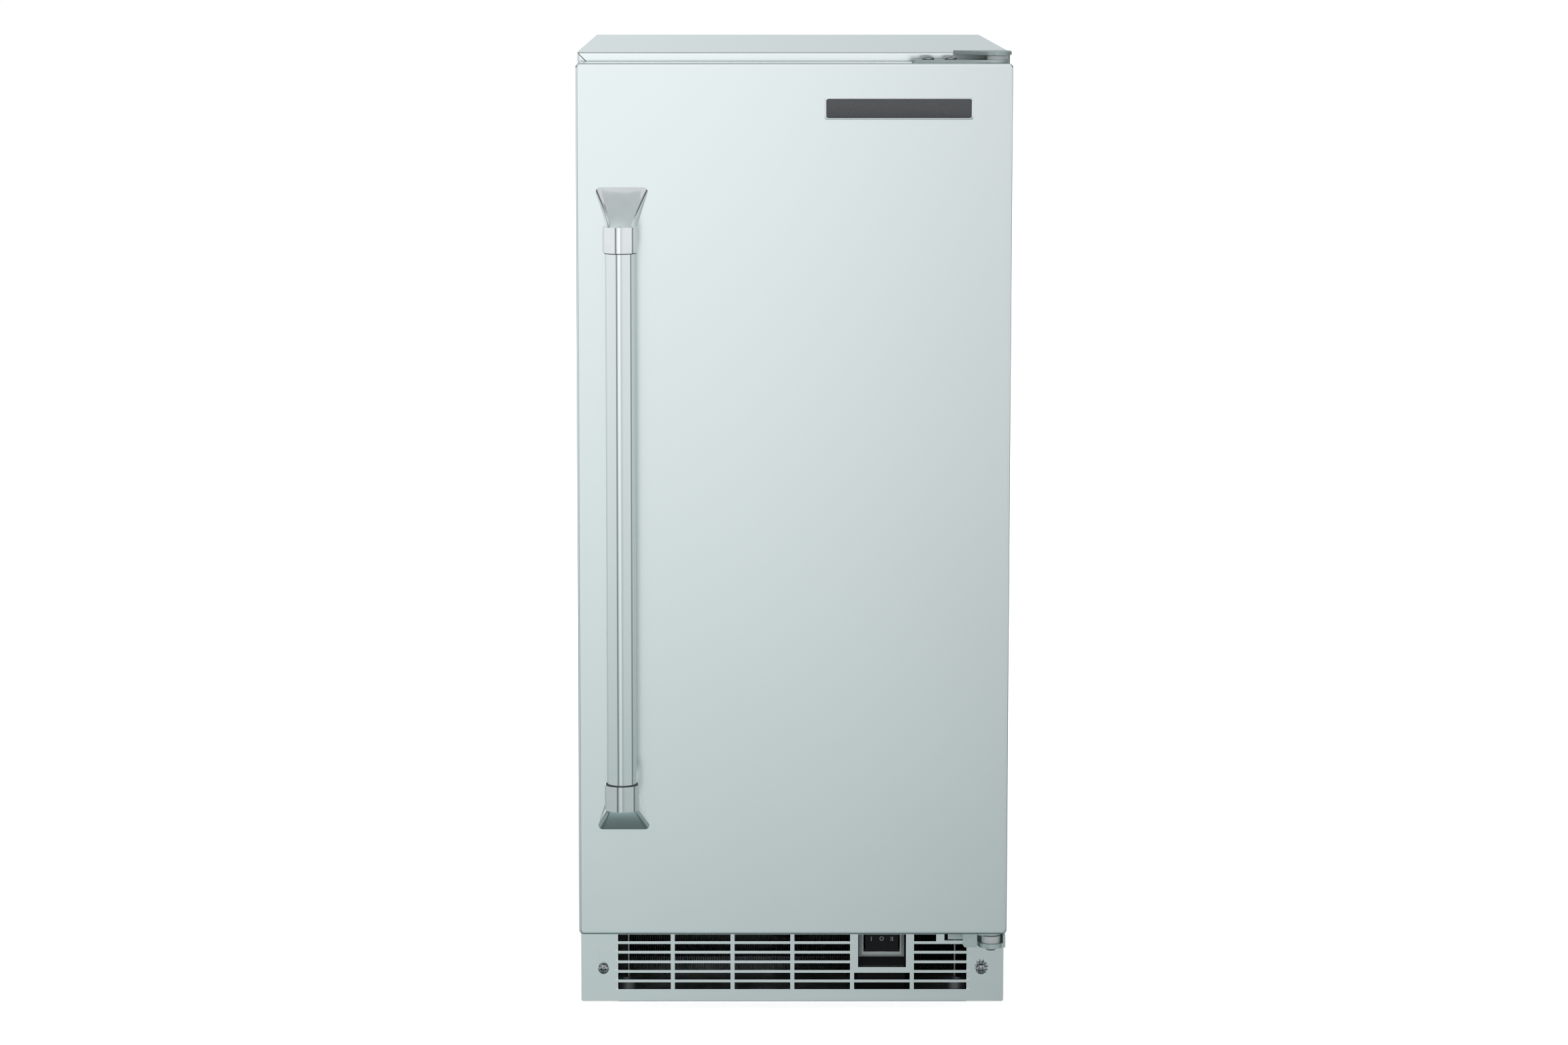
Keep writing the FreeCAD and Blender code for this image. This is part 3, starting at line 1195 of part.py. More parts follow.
def cheek(side):
    """Side plate of the freezing section, with ledges for the evaporator and the sump."""
    inner = CHEEK_INNER
    plate = prism("x", inner, CHEEK_OUTER,
                  rounded(CHEEK_FRONT, CHEEK_REAR, CHEEK_BOTTOM, CHEEK_TOP, CHEEK_CORNER))
    upper = block(inner - LEDGE, inner, EVAPORATOR_FRONT, EVAPORATOR_REAR, EVAPORATOR_Z - CHEEK, EVAPORATOR_Z)
    lower = block(inner - LEDGE, inner, SUMP_FRONT, SUMP_REAR, SUMP_Z - CHEEK, SUMP_Z)
    pieces = [plate, upper, lower]
    if side < 0:
        low, high = PUMP_SHELF_Z - CHEEK, PUMP_SHELF_Z
        shelf = block(-BAY_X - PUMP_R, inner, PUMP_Y - PUMP_R, PUMP_Y + PUMP_R, low, high)
        hole = along_z(-BAY_X, PUMP_Y, PUMP_COLUMN_R + PUMP_COLUMN_GAP, low - CUT, high + CUT)
        pieces.append(shelf.cut(hole))
    rods = [(y, z, CHUTE_ROD_R) for y, z in CHUTE_RODS] + [(CURTAIN_Y, CURTAIN_Z, CURTAIN_ROD_R)]
    holes = [rod((inner - CUT, y, z), (1, 0, 0), r + ROD_GAP, CHEEK + 2 * CUT) for y, z, r in rods]
    body = joined(pieces).cut(holes)
    return body if side > 0 else mirrored_x(body)


def cheek_left():
    return cheek(-1)


def cheek_right():
    return cheek(1)


def cross_rod(y, z, radius):
    """Rod held in the holes of the two cheeks."""
    reach = CHEEK_OUTER - ROD_GAP
    return rod((-reach, y, z), (1, 0, 0), radius, 2 * reach)


def cup_places():
    return [(CUP_LEFT + column * CUP_PITCH, CUP_BACK - row * CUP_PITCH)
            for column in range(CUP_COLUMNS) for row in range(CUP_ROWS)]


def evaporator_plate():
    z0 = EVAPORATOR_Z + SEAM
    half = CHEEK_INNER - EVAPORATOR_GAP
    plate = block(-half, half, EVAPORATOR_FRONT, EVAPORATOR_REAR, z0, z0 + CHEEK)
    low = z0 - CUP_HEIGHT
    cups = [along_z(x, y, CUP_R, low, z0 + CUT) for x, y in cup_places()]
    bores = [along_z(x, y, CUP_R - CUP_WALL, low - CUT, z0) for x, y in cup_places()]
    return joined([plate] + cups).cut(bores)


def evaporator_coil():
    rows = [CUP_BACK - row * CUP_PITCH for row in range(CUP_ROWS)]
    points = [(SUCTION_X, LINE_Y, COIL_TAIL_Z), (SUCTION_X, LINE_Y, COIL_Z)]
    for index, y in enumerate(rows):
        ends = (SUCTION_X, CUP_LEFT) if index % 2 == 0 else (CUP_LEFT, SUCTION_X)
        last = index == len(rows) - 1
        points += [(ends[0], y, COIL_Z), (FEED_X if last else ends[1], y, COIL_Z)]
    points += [(FEED_X, LINE_Y, COIL_Z), (FEED_X, LINE_Y, COIL_TAIL_Z)]
    tight = (1, 2, len(points) - 3, len(points) - 2)
    turn = CUP_PITCH / 2 - COIL_EASE
    corners = [(V(*p), COIL_TIGHT_BEND if index in tight else turn) for index, p in enumerate(points)]
    path = Part.Wire(edges_through(corners, False))
    section = Part.Wire(Part.makeCircle(COIL_R, V(*points[0]), V(0, 0, 1)))
    return path.makePipeShell([section], True, False)


def ice_chute():
    """Sloping slats that the falling cubes slide down, on two cross rods."""
    profile = [CHUTE_FRONT, CHUTE_REAR, (CHUTE_REAR[0], CHUTE_REAR[1] - SLAT_HEIGHT),
               (CHUTE_FRONT[0], CHUTE_FRONT[1] - SLAT_HEIGHT)]
    right = CUP_RIGHT + CUP_R
    count = int((right - CUP_LEFT + CUP_R) / SLAT_PITCH) + 1
    slats = [prism("x", right - i * SLAT_PITCH - SLAT, right - i * SLAT_PITCH, profile) for i in range(count)]
    return joined(slats + [cross_rod(y, z, CHUTE_ROD_R) for y, z in CHUTE_RODS])


def sump_tank():
    half = CHEEK_INNER - SUMP_GAP
    inner = half - SUMP_WALL
    z0 = SUMP_Z + SEAM
    tank = prism("z", z0, SUMP_RIM, rounded(-half, half, SUMP_FRONT, SUMP_REAR, SUMP_CORNER))
    plan = rounded(-inner, inner, SUMP_FRONT + SUMP_WALL, SUMP_REAR - SUMP_WALL, SUMP_CORNER - SUMP_WALL)
    return tank.cut(prism("z", z0 + SUMP_WALL, SUMP_RIM + CUT, plan))


def spray_manifold():
    """Header on the sump's front and rear rims, with branches to the right rim and a jet under each cup."""
    z = SUMP_RIM + SEAM + MANIFOLD_R
    pieces = [along_y(MANIFOLD_X, z, MANIFOLD_R, SUMP_FRONT + MANIFOLD_INSET, SUMP_REAR - MANIFOLD_INSET)]
    length = CHEEK_INNER - BRANCH_END - MANIFOLD_X
    for row in range(CUP_ROWS):
        pieces.append(rod((MANIFOLD_X, CUP_BACK - row * CUP_PITCH, z), (1, 0, 0), BRANCH_R, length))
    for x, y in cup_places():
        pieces.append(Part.makeCone(JET_R, JET_TIP_R, JET_HEIGHT, V(x, y, z + JET_SINK), V(0, 0, 1)))
    low = SUMP_Z + PUMP_PIPE_RISE
    route = [(BAY_X + PUMP_R - CUT, PUMP_Y, low), (MANIFOLD_X, PUMP_Y, low), (MANIFOLD_X, PUMP_Y, z)]
    return joined(pieces + [pipe(route, PUMP_PIPE_R, PUMP_PIPE_BEND)])


def water_pump():
    z0 = PUMP_SHELF_Z + SEAM
    shoulder = z0 + PUMP_MOTOR_HEIGHT
    neck = shoulder + PUMP_SHOULDER
    top = neck + PUMP_CAP_HEIGHT
    motor = turned([(0, z0), (PUMP_R, z0, PUMP_MOTOR_EDGE), (PUMP_R, shoulder, PUMP_SHOULDER),
                    (PUMP_CAP_R, neck),
                    (PUMP_CAP_R, top, PUMP_CAP_EDGE), (0, top)], BAY_X, PUMP_Y)
    low = SUMP_Z + SEAM + SUMP_WALL + VOLUTE_LIFT
    volute = along_z(BAY_X, PUMP_Y, VOLUTE_R, low, low + VOLUTE_HEIGHT)
    return joined([motor, along_z(BAY_X, PUMP_Y, PUMP_COLUMN_R, low + CUT, z0 + CUT), volute])


def float_valve():
    """Valve body on the left cheek, with a fork below it for the float's pivot."""
    x0, x1 = -CHEEK_INNER + SEAM, FLOAT_VALVE_END
    y, z = FLOAT_PIVOT_Y, FLOAT_PIVOT_Z
    body = block(x0, x1, y - FLOAT_VALVE_HALF, y + FLOAT_VALVE_HALF, z + FLOAT_VALVE_RISE,
                 WATER_TUBE_Z + FLOAT_VALVE_RISE)
    body = body.makeFillet(FLOAT_VALVE_EDGE, [e for e in upright_edges(body) if e.BoundBox.XMin > x1 - CUT])
    fork = [block(a, a + FORK, y - FORK_HALF, y + FORK_HALF, z - FORK_HALF, z + FLOAT_VALVE_RISE + CUT)
            for a in (x1 - FORK_SPAN, x1 - FORK)]
    bore = rod((x0, y, z), (1, 0, 0), FLOAT_PIN_R + RUNNING_FIT, FLOAT_VALVE_WIDTH)
    return joined([body] + fork).cut(bore)


def float_arm():
    x, y, z = FLOAT_MIDDLE, FLOAT_PIVOT_Y, FLOAT_PIVOT_Z
    pin = rod((x - FORK_SPAN / 2, y, z), (1, 0, 0), FLOAT_PIN_R, FORK_SPAN)
    hub = rod((x - FLOAT_HUB / 2, y, z), (1, 0, 0), FLOAT_HUB_R, FLOAT_HUB)
    bulb_y, bulb_z = y + FLOAT_LEVER, SUMP_Z + FLOAT_LIFT
    route = [(x, y + CUT, z), (x, bulb_y - FLOAT_LEVER_DROP, z), (x, bulb_y, bulb_z)]
    lever = pipe(route, FLOAT_LEVER_R, FLOAT_LEVER_BEND)
    half = FLOAT_LENGTH / 2
    bulb = rod((x - half, bulb_y, bulb_z), (1, 0, 0), FLOAT_R, FLOAT_LENGTH)
    bulb = bulb.makeFillet(FLOAT_EDGE,
                           edges_in_plane(bulb, "X", x - half) + edges_in_plane(bulb, "X", x + half))
    return joined([pin, hub, lever, bulb])


def curtain_rod():
    return cross_rod(CURTAIN_Y, CURTAIN_Z, CURTAIN_ROD_R)


def ice_curtain():
    """Moulded curtain: knuckles about the rod and strips that the cubes push open."""
    half = CHEEK_INNER - CURTAIN_GAP
    z0 = CURTAIN_Z - CURTAIN_HEIGHT
    front, rear = CURTAIN_Y - CURTAIN_SHEET / 2, CURTAIN_Y + CURTAIN_SHEET / 2
    sheet = block(-half, half, front, rear, z0, CURTAIN_Z)
    pitch = 2 * half / CURTAIN_STRIPS
    slit, rib = CURTAIN_SLIT / 2, CURTAIN_RIB / 2
    band = CURTAIN_Z - CURTAIN_BAND
    slits = []
    for index in range(1, CURTAIN_STRIPS):
        x = -half + index * pitch
        slits.append(block(x - slit, x + slit, front - CUT, rear + CUT, z0 - CUT, band))
    low, high = z0 + CURTAIN_RIB_ENDS[0], CURTAIN_Z - CURTAIN_RIB_ENDS[1]
    ribs = []
    for index in range(CURTAIN_STRIPS):
        x = -half + (index + 0.5) * pitch
        ribs.append(block(x - rib, x + rib, front - CURTAIN_RIB_DEPTH, CURTAIN_Y, low, high))
    knuckle = rod((-half, CURTAIN_Y, CURTAIN_Z), (1, 0, 0), CURTAIN_ROD_R + CURTAIN_KNUCKLE, 2 * half)
    bore = rod((-half - CUT, CURTAIN_Y, CURTAIN_Z), (1, 0, 0), CURTAIN_ROD_R + RUNNING_FIT, 2 * (half + CUT))
    return joined([sheet, knuckle] + ribs).cut(slits + [bore])


def water_tube():
    route = [(WATER_TUBE_X, LINE_Y, INLET_Z + INLET_RISER + SEAM), (WATER_TUBE_X, LINE_Y, WATER_TUBE_Z),
             (WATER_TUBE_X, FLOAT_PIVOT_Y + FLOAT_VALVE_HALF + SEAM, WATER_TUBE_Z)]
    return pipe(route, WATER_TUBE_R, TUBE_BEND)


# Machine compartment


def compressor():
    low = COMPRESSOR_Z + SEAM
    top = low + COMPRESSOR_HEIGHT
    radius = COMPRESSOR_R
    shell = turned([(0, low), (radius - COMPRESSOR_FOOT_IN, low),
                    (radius, low + COMPRESSOR_SKIRT, COMPRESSOR_SKIRT_ROUND),
                    (radius, top - COMPRESSOR_SHOULDER, COMPRESSOR_SHOULDER_ROUND),
                    (radius - COMPRESSOR_CROWN_IN, top, COMPRESSOR_CROWN_ROUND),
                    (0, top)], COMPRESSOR_X, COMPRESSOR_Y)
    plate = block(COMPRESSOR_X - COMPRESSOR_PLATE_X, COMPRESSOR_X + COMPRESSOR_PLATE_X,
                  COMPRESSOR_Y - COMPRESSOR_PLATE_Y, COMPRESSOR_Y + COMPRESSOR_PLATE_Y, low,
                  low + COMPRESSOR_PLATE)
    front = COMPRESSOR_Y - radius
    cover = block(COMPRESSOR_X - COVER_HALF, COMPRESSOR_X + COVER_HALF, front - COVER_PROUD,
                  front + COVER_SINK,
                  low + COVER_LOW, low + COVER_HIGH)
    cover = cover.makeFillet(COVER_EDGE, edges_in_plane(cover, "Y", front - COVER_PROUD))
    return joined([shell, plate, cover])


def compressor_feet():
    low = BASE_SHEET + SEAM
    profile = [(0, low), (FOOT_R, low, FOOT_EDGE), (FOOT_WAIST_R, BASE_SHEET + FOOT_WAIST),
               (FOOT_R, COMPRESSOR_Z, FOOT_EDGE), (0, COMPRESSOR_Z)]
    places = [(COMPRESSOR_X + sx * FOOT_X, COMPRESSOR_Y + sy * FOOT_Y) for sx in (-1, 1) for sy in (-1, 1)]
    return Part.makeCompound([turned(profile, x, y) for x, y in places])


def condenser_core():
    """Fin pack with vertical slits on both faces."""
    half = CONDENSER_HALF - SHROUD_SHEET - 2 * SEAM
    core = block(-half, half, CONDENSER_FRONT, CONDENSER_REAR, CONDENSER_Z, CONDENSER_TOP - CORE_GAP)
    count = int(2 * half / FIN_PITCH)
    pitch = 2 * half / count
    slits = []
    for index in range(count):
        x = -half + (index + 0.5) * pitch
        left, right = x - FIN_SLIT / 2, x + FIN_SLIT / 2
        slits.append(block(left, right, CONDENSER_FRONT - CUT, CONDENSER_FRONT + FIN_SLIT_DEPTH,
                           CONDENSER_Z - CUT, CONDENSER_TOP))
        slits.append(block(left, right, CONDENSER_REAR - FIN_SLIT_DEPTH, CONDENSER_REAR + CUT,
                           CONDENSER_Z - CUT, CONDENSER_TOP))
    return core.cut(slits)


def condenser_plates():
    """End plates with their feet, and the return bends of the tubes that pass through them."""
    low = BASE_SHEET + SEAM
    front = CONDENSER_FRONT - END_PLATE_FRONT
    rows = CONDENSER_TUBES
    plates = []
    for side in (-1, 1):
        near, far = sorted((side * (CONDENSER_HALF - SHROUD_SHEET), side * CONDENSER_HALF))
        plate = block(near, far, front, CONDENSER_REAR, low, CONDENSER_TOP)
        near, far = sorted((side * CONDENSER_HALF, side * (CONDENSER_HALF + END_PLATE_FOOT)))
        foot = block(near, far, front, CONDENSER_REAR, low, low + SHROUD_SHEET)
        pairs = zip(rows[0::2], rows[1::2]) if side > 0 else zip(rows[1::2], rows[2::2])
        x0, x1 = side * (CONDENSER_HALF - RETURN_SINK), side * (CONDENSER_HALF + RETURN_REACH)
        bends = []
        for lower, upper in pairs:
            route = [(x0, CONDENSER_Y, lower), (x1, CONDENSER_Y, lower), (x1, CONDENSER_Y, upper),
                     (x0, CONDENSER_Y, upper)]
            bends.append(pipe(route, RETURN_R, RETURN_BEND))
        plates.append(joined([plate, foot] + bends))
    return Part.makeCompound(plates)


def fan_shroud():
    """Duct from the condenser to the fan ring, with the strap that carries the motor."""
    half, sheet = CONDENSER_HALF, SHROUD_SHEET
    low, high = CONDENSER_Z, CONDENSER_TOP
    rear = SHROUD_REAR - sheet
    duct = block(-half, half, CONDENSER_REAR + SEAM, SHROUD_REAR, low, high)
    hollow = block(-half + sheet, half - sheet, CONDENSER_REAR - CUT, rear, low + sheet, high - sheet)
    duct = duct.cut([hollow, along_y(0, FAN_Z, FAN_RING_R, rear - CUT, SHROUD_REAR + CUT)])
    ring_lip = ring((0, rear, FAN_Z), (0, 1, 0), FAN_RING_R + sheet, FAN_RING_R, RING_LIP)
    face = STRAP_Y - STRAP_SHEET
    profile = [(rear, high), (STRAP_Y, high), (STRAP_Y, low), (rear, low), (rear, low + sheet),
               (face, low + sheet),
               (face, high - sheet), (rear, high - sheet)]
    hole = along_y(0, FAN_Z, SHAFT_R + STRAP_HOLE_GAP, face - CUT, STRAP_Y + CUT)
    return joined([duct, ring_lip, prism("x", -STRAP_HALF, STRAP_HALF, profile).cut(hole)])


def fan_motor():
    y0 = STRAP_Y + SEAM
    y1 = y0 + MOTOR_LENGTH
    can = along_y(0, FAN_Z, MOTOR_R, y0, y1)
    can = can.makeFillet(MOTOR_EDGE, edges_in_plane(can, "Y", y1))
    return can.cut(along_y(0, FAN_Z, SHAFT_R + RUNNING_FIT, y0 - CUT, y0 + SHAFT_SOCKET))


def fan_blade():
    """One cambered blade, swept out from the hub and trimmed to the fan's circle."""
    x = FAN_HUB_R - BLADE_SINK
    low, high = -BLADE_HALF, BLADE_HALF
    outer = Part.Arc(V(x, 0, low), V(x, BLADE_CAMBER, 0), V(x, 0, high)).toShape()
    inner = Part.Arc(V(x, -BLADE_SHEET, high), V(x, BLADE_CAMBER - BLADE_SHEET, 0),
                     V(x, -BLADE_SHEET, low)).toShape()
    ends = [Part.LineSegment(V(x, 0, high), V(x, -BLADE_SHEET, high)).toShape(),
            Part.LineSegment(V(x, -BLADE_SHEET, low), V(x, 0, low)).toShape()]
    blade = Part.Face(Part.Wire([outer, ends[0], inner, ends[1]])).extrude(V(FAN_R - x, 0, 0))
    blade = blade.common(along_y(0, 0, FAN_R, -FAN_DEPTH, FAN_DEPTH))
    blade.rotate(V(0, 0, 0), V(1, 0, 0), BLADE_ANGLE)
    return blade.translated(V(0, FAN_Y, FAN_Z))


def fan_blades():
    y0 = FAN_Y - FAN_DEPTH / 2
    hub = along_y(0, FAN_Z, FAN_HUB_R, y0, y0 + FAN_DEPTH)
    shaft = along_y(0, FAN_Z, SHAFT_R, FAN_Y, STRAP_Y + SHAFT_REACH)
    blades = []
    for index in range(FAN_BLADES):
        blade = fan_blade()
        blade.rotate(V(0, FAN_Y, FAN_Z), V(0, 1, 0), index * 360 / FAN_BLADES)
        blades.append(blade)
    return joined([hub, shaft] + blades)


def shell_point(dx, dy):
    """Point just off the compressor's shell, level with its stubs."""
    reach = (COMPRESSOR_R + SEAM) / math.hypot(dx, dy)
    return (COMPRESSOR_X + dx * reach, COMPRESSOR_Y + dy * reach, STUB_Z)


def gas_riser_y():
    dx, dy = DISCHARGE_HEADING
    start = shell_point(dx, dy)
    return start[1] + (GAS_LINE_X - start[0]) * dy / dx


def discharge_line():
    y = gas_riser_y()
    last = CONDENSER_TUBES[-1] + GAS_ENTRY
    route = [shell_point(*DISCHARGE_HEADING), (GAS_LINE_X, y, STUB_Z), (GAS_LINE_X, y, GAS_TOP_Z),
             (GAS_LINE_X, CONDENSER_Y, GAS_TOP_Z), (GAS_LINE_X, CONDENSER_Y, last),
             (CONDENSER_HALF + SEAM, CONDENSER_Y, last)]
    return pipe(route, GAS_LINE_R, TUBE_BEND)


def liquid_line():
    low = CONDENSER_TUBES[0] - LIQUID_EXIT
    y0 = CONDENSER_Y + DRIER_SPACE
    y1 = y0 + DRIER_LENGTH
    cross = DECK_TOP - LIQUID_CROSS_DROP
    inlet = [(CONDENSER_HALF + SEAM, CONDENSER_Y, low), (GAS_LINE_X, CONDENSER_Y, low),
             (GAS_LINE_X, y0 + CUT, low)]
    outlet = [(GAS_LINE_X, y1 - CUT, low), (GAS_LINE_X, LINE_Y, low), (GAS_LINE_X, LINE_Y, cross),
              (FEED_X, LINE_Y, cross), (FEED_X, LINE_Y, COIL_TAIL_Z - SEAM)]
    drier = along_y(GAS_LINE_X, low, DRIER_R, y0, y1)
    drier = drier.makeFillet(DRIER_EDGE, edges_in_plane(drier, "Y", y0) + edges_in_plane(drier, "Y", y1))
    return joined([pipe(inlet, GAS_LINE_R, TUBE_BEND), drier, pipe(outlet, GAS_LINE_R, TUBE_BEND)])


def hot_gas_valve():
    """Harvest gas branch from the discharge riser to the liquid riser, with its solenoid valve."""
    x, z = GAS_LINE_X, HOT_GAS_Z
    y0 = gas_riser_y() + GAS_LINE_R + SEAM
    y1 = LINE_Y - GAS_LINE_R - SEAM
    middle = (y0 + y1) / 2 + VALVE_SHIFT
    body = block(x - VALVE_HALF_X, x + VALVE_HALF_X, middle - VALVE_HALF_Y, middle + VALVE_HALF_Y,
                 z - VALVE_HALF_Z, z + VALVE_HALF_Z)
    low = z + VALVE_HALF_Z - CUT
    return joined([along_y(x, z, GAS_LINE_R, y0, y1), body,
                   along_z(x, middle, VALVE_COIL_R, low, low + VALVE_COIL)])


def suction_line():
    end = shell_point(SUCTION_X - COMPRESSOR_X, LINE_Y - COMPRESSOR_Y)
    route = [(SUCTION_X, LINE_Y, COIL_TAIL_Z - SEAM), (SUCTION_X, LINE_Y, STUB_Z), end]
    return pipe(route, SUCTION_R, SUCTION_BEND)


def water_inlet_valve():
    front = LINE_Y - INLET_BODY_FRONT
    body = block(WATER_TUBE_X - INLET_BODY_END, INLET_X + INLET_BODY_SIDE, front, INNER_REAR,
                 INLET_Z - INLET_BODY_DROP, INLET_Z + INLET_BODY_RISE)
    body = body.makeFillet(INLET_BODY_EDGE, upright_edges(body))
    coil = along_y(INLET_X, INLET_Z, INLET_COIL_R, front - INLET_COIL, front + CUT)
    riser = along_z(WATER_TUBE_X, LINE_Y, INLET_RISER_R, INLET_Z, INLET_Z + INLET_RISER)
    stub = along_y(INLET_X, INLET_Z, INLET_R, INNER_REAR - CUT, BACK + INLET_LENGTH)
    return joined([body, coil, riser, stub])


def drain_line():
    """Strainer in the bin floor, tube down through the deck and a threaded outlet at the back."""
    inner = DRAIN_R - DRAIN_WALL
    flange = ring((DRAIN_X, DRAIN_Y, BIN_FLOOR + SEAM), (0, 0, 1), DRAIN_R + DRAIN_FLANGE, inner,
                  DRAIN_FLANGE_SHEET)
    bend = (DRAIN_X, DRAIN_Y, DRAIN_Z)
    outer = pipe([(DRAIN_X, DRAIN_Y, BIN_FLOOR + CUT), bend, (DRAIN_X, BACK - DRAIN_COLLAR_OUT, DRAIN_Z)],
                 DRAIN_R, DRAIN_BEND)
    high = BIN_FLOOR + DRAIN_FLANGE_SHEET + 2 * CUT
    bore = pipe([(DRAIN_X, DRAIN_Y, high), bend, (DRAIN_X, BACK - DRAIN_THREAD_IN + CUT, DRAIN_Z)], inner,
                DRAIN_BEND)
    end = BACK + DRAIN_COLLAR_OUT
    collar = along_y(DRAIN_X, DRAIN_Z, DRAIN_THREAD_R + DRAIN_COLLAR_WALL, BACK - DRAIN_COLLAR_IN, end)
    thread = along_y(DRAIN_X, DRAIN_Z, DRAIN_THREAD_R, BACK - DRAIN_THREAD_IN, end + CUT)
    return joined([flange, outer, collar]).cut([bore, thread])


def power_gland():
    y0 = INNER_REAR - GLAND_NUT
    y1 = y0 + GLAND_BARREL
    seat = REAR_SKIN + SEAM
    cap = along_y(GLAND_X, GLAND_Z, GLAND_NUT_R, seat, seat + GLAND_CAP)
    cap = cap.makeFillet(GLAND_CAP_EDGE, edges_in_plane(cap, "Y", seat + GLAND_CAP))
    nut = along_y(GLAND_X, GLAND_Z, GLAND_NUT_R, y0, INNER_REAR)
    barrel = along_y(GLAND_X, GLAND_Z, GLAND_BARREL_R, y0, y1)
    return joined([nut, barrel, cap]).cut(along_y(GLAND_X, GLAND_Z, GLAND_BORE_R, y0 - CUT, y1 + CUT))


NODES = [
    base_pan, left_side_panel, right_side_panel, top_panel, back_panel, rear_service_panel,
    lower_front_panel, bin_liner, insulation, compartment_deck, cabinet_screws, kick_grille,
    grille_screws, control_box, switch_bezel, switch_rocker, upper_hinge_bracket, lower_hinge_bracket,
    lower_hinge_pin, lower_thrust_washer, door_skin, door_core, door_liner, door_gasket, handle_tube,
    handle_end_upper, handle_end_lower, upper_door_plate, lower_door_plate, upper_hinge_bush,
    lower_hinge_bush, door_plate_screws, cheek_left, cheek_right, evaporator_plate, evaporator_coil,
    ice_chute, sump_tank, spray_manifold, water_pump, float_valve, float_arm, curtain_rod, ice_curtain,
    water_tube, compressor, compressor_feet, condenser_core, condenser_plates, fan_shroud, fan_motor,
    fan_blades, discharge_line, liquid_line, hot_gas_valve, suction_line, water_inlet_valve, drain_line,
    power_gland,
]

os.makedirs("parts", exist_ok=True)
for make in NODES:
    shape = make()
    shape.exportStep(os.path.join("parts", make.__name__ + ".step"))
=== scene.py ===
"""Looks for the outdoor ice maker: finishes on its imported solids, small trim and the studio stage."""

import json
import math

import bmesh
import bpy
from mathutils import Matrix, Vector

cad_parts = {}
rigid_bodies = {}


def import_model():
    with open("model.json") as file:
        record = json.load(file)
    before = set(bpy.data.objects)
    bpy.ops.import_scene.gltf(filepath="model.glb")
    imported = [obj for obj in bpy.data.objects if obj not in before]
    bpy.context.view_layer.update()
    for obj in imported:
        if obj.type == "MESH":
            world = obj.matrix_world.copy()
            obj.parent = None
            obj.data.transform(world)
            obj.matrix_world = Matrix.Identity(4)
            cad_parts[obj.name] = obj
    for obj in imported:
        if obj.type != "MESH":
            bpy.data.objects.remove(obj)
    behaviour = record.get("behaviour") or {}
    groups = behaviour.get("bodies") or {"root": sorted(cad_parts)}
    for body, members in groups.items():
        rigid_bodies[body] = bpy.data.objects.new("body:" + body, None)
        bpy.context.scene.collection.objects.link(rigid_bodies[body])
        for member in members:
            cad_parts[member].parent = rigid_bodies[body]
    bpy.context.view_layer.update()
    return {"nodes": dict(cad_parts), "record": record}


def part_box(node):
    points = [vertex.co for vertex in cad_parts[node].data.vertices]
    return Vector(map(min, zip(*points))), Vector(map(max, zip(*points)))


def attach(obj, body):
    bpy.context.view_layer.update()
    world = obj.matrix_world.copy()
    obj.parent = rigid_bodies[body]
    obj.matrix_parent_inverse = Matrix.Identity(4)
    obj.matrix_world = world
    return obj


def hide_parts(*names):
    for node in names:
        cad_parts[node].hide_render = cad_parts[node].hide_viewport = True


bl_info = {
    "name": "Outdoor Ice Maker Looks",
    "version": (1, 0, 0),
    "blender": (4, 5, 0),
    "location": "View3D > Sidebar > Ice Maker",
    "description": "Finishes, trim and studio stage of an undercounter outdoor ice maker",
    "category": "Object",
}

for stray in list(bpy.data.objects):
    bpy.data.objects.remove(stray, do_unlink=True)
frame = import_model()
MM = 0.001
FORWARD = (0, -1, 0)
BACKWARD = (0, 1, 0)
UPWARD = (0, 0, 1)
PALEST = 0.98
QUARTER_TURN = 0.25
FULL_FRAME = 36.0

# What polished metal reflects, in degrees to the right of the front
PANEL_LEFT = -28.0
PANEL_RIGHT = 94.0
GLINT = -7.0
GLINT_FADE = (4.0, 13.0)
PANEL_FADE = (8.0, 26.0)
RIGHT_END = 125.0
SEAM_HALF = {PANEL_LEFT: 2.5, PANEL_RIGHT: 6.0}
SEAM_EDGE = 4.0
BACK_FADE = (115.0, 145.0)
SIDE_FADE = (38.0, 52.0)

# Heights in the same studio, from -1 straight down to 1 straight up
UNDER_RISE = (-0.95, -0.35)
NEAR_FLOOR_RISE = (-0.52, -0.36)
WALL_RISE = (-0.42, -0.02)
SIDE_FOOT = (0.10, 0.22)
SIDE_HEAD = (0.55, 0.75)
CEILING_RISE = (0.35, 0.80)
ZENITH_RISE = (0.62, 0.80)

# Its changes from side to side and from front to back, and its tints
BACK_CHANGE = (-0.10, 0.12)
BACK_DROP = 0.20
ZENITH_DEPTH = (0.15, 0.32)
LOW_TINT = (0.82, 1.0, 1.0)
REAR_TINT = 0.4
WHITE = (1.0, 1.0, 1.0)

# Squares of the distances in metres between which the floor turns white
FLOOR_FADE = (0.3, 2.5)


# Node trees


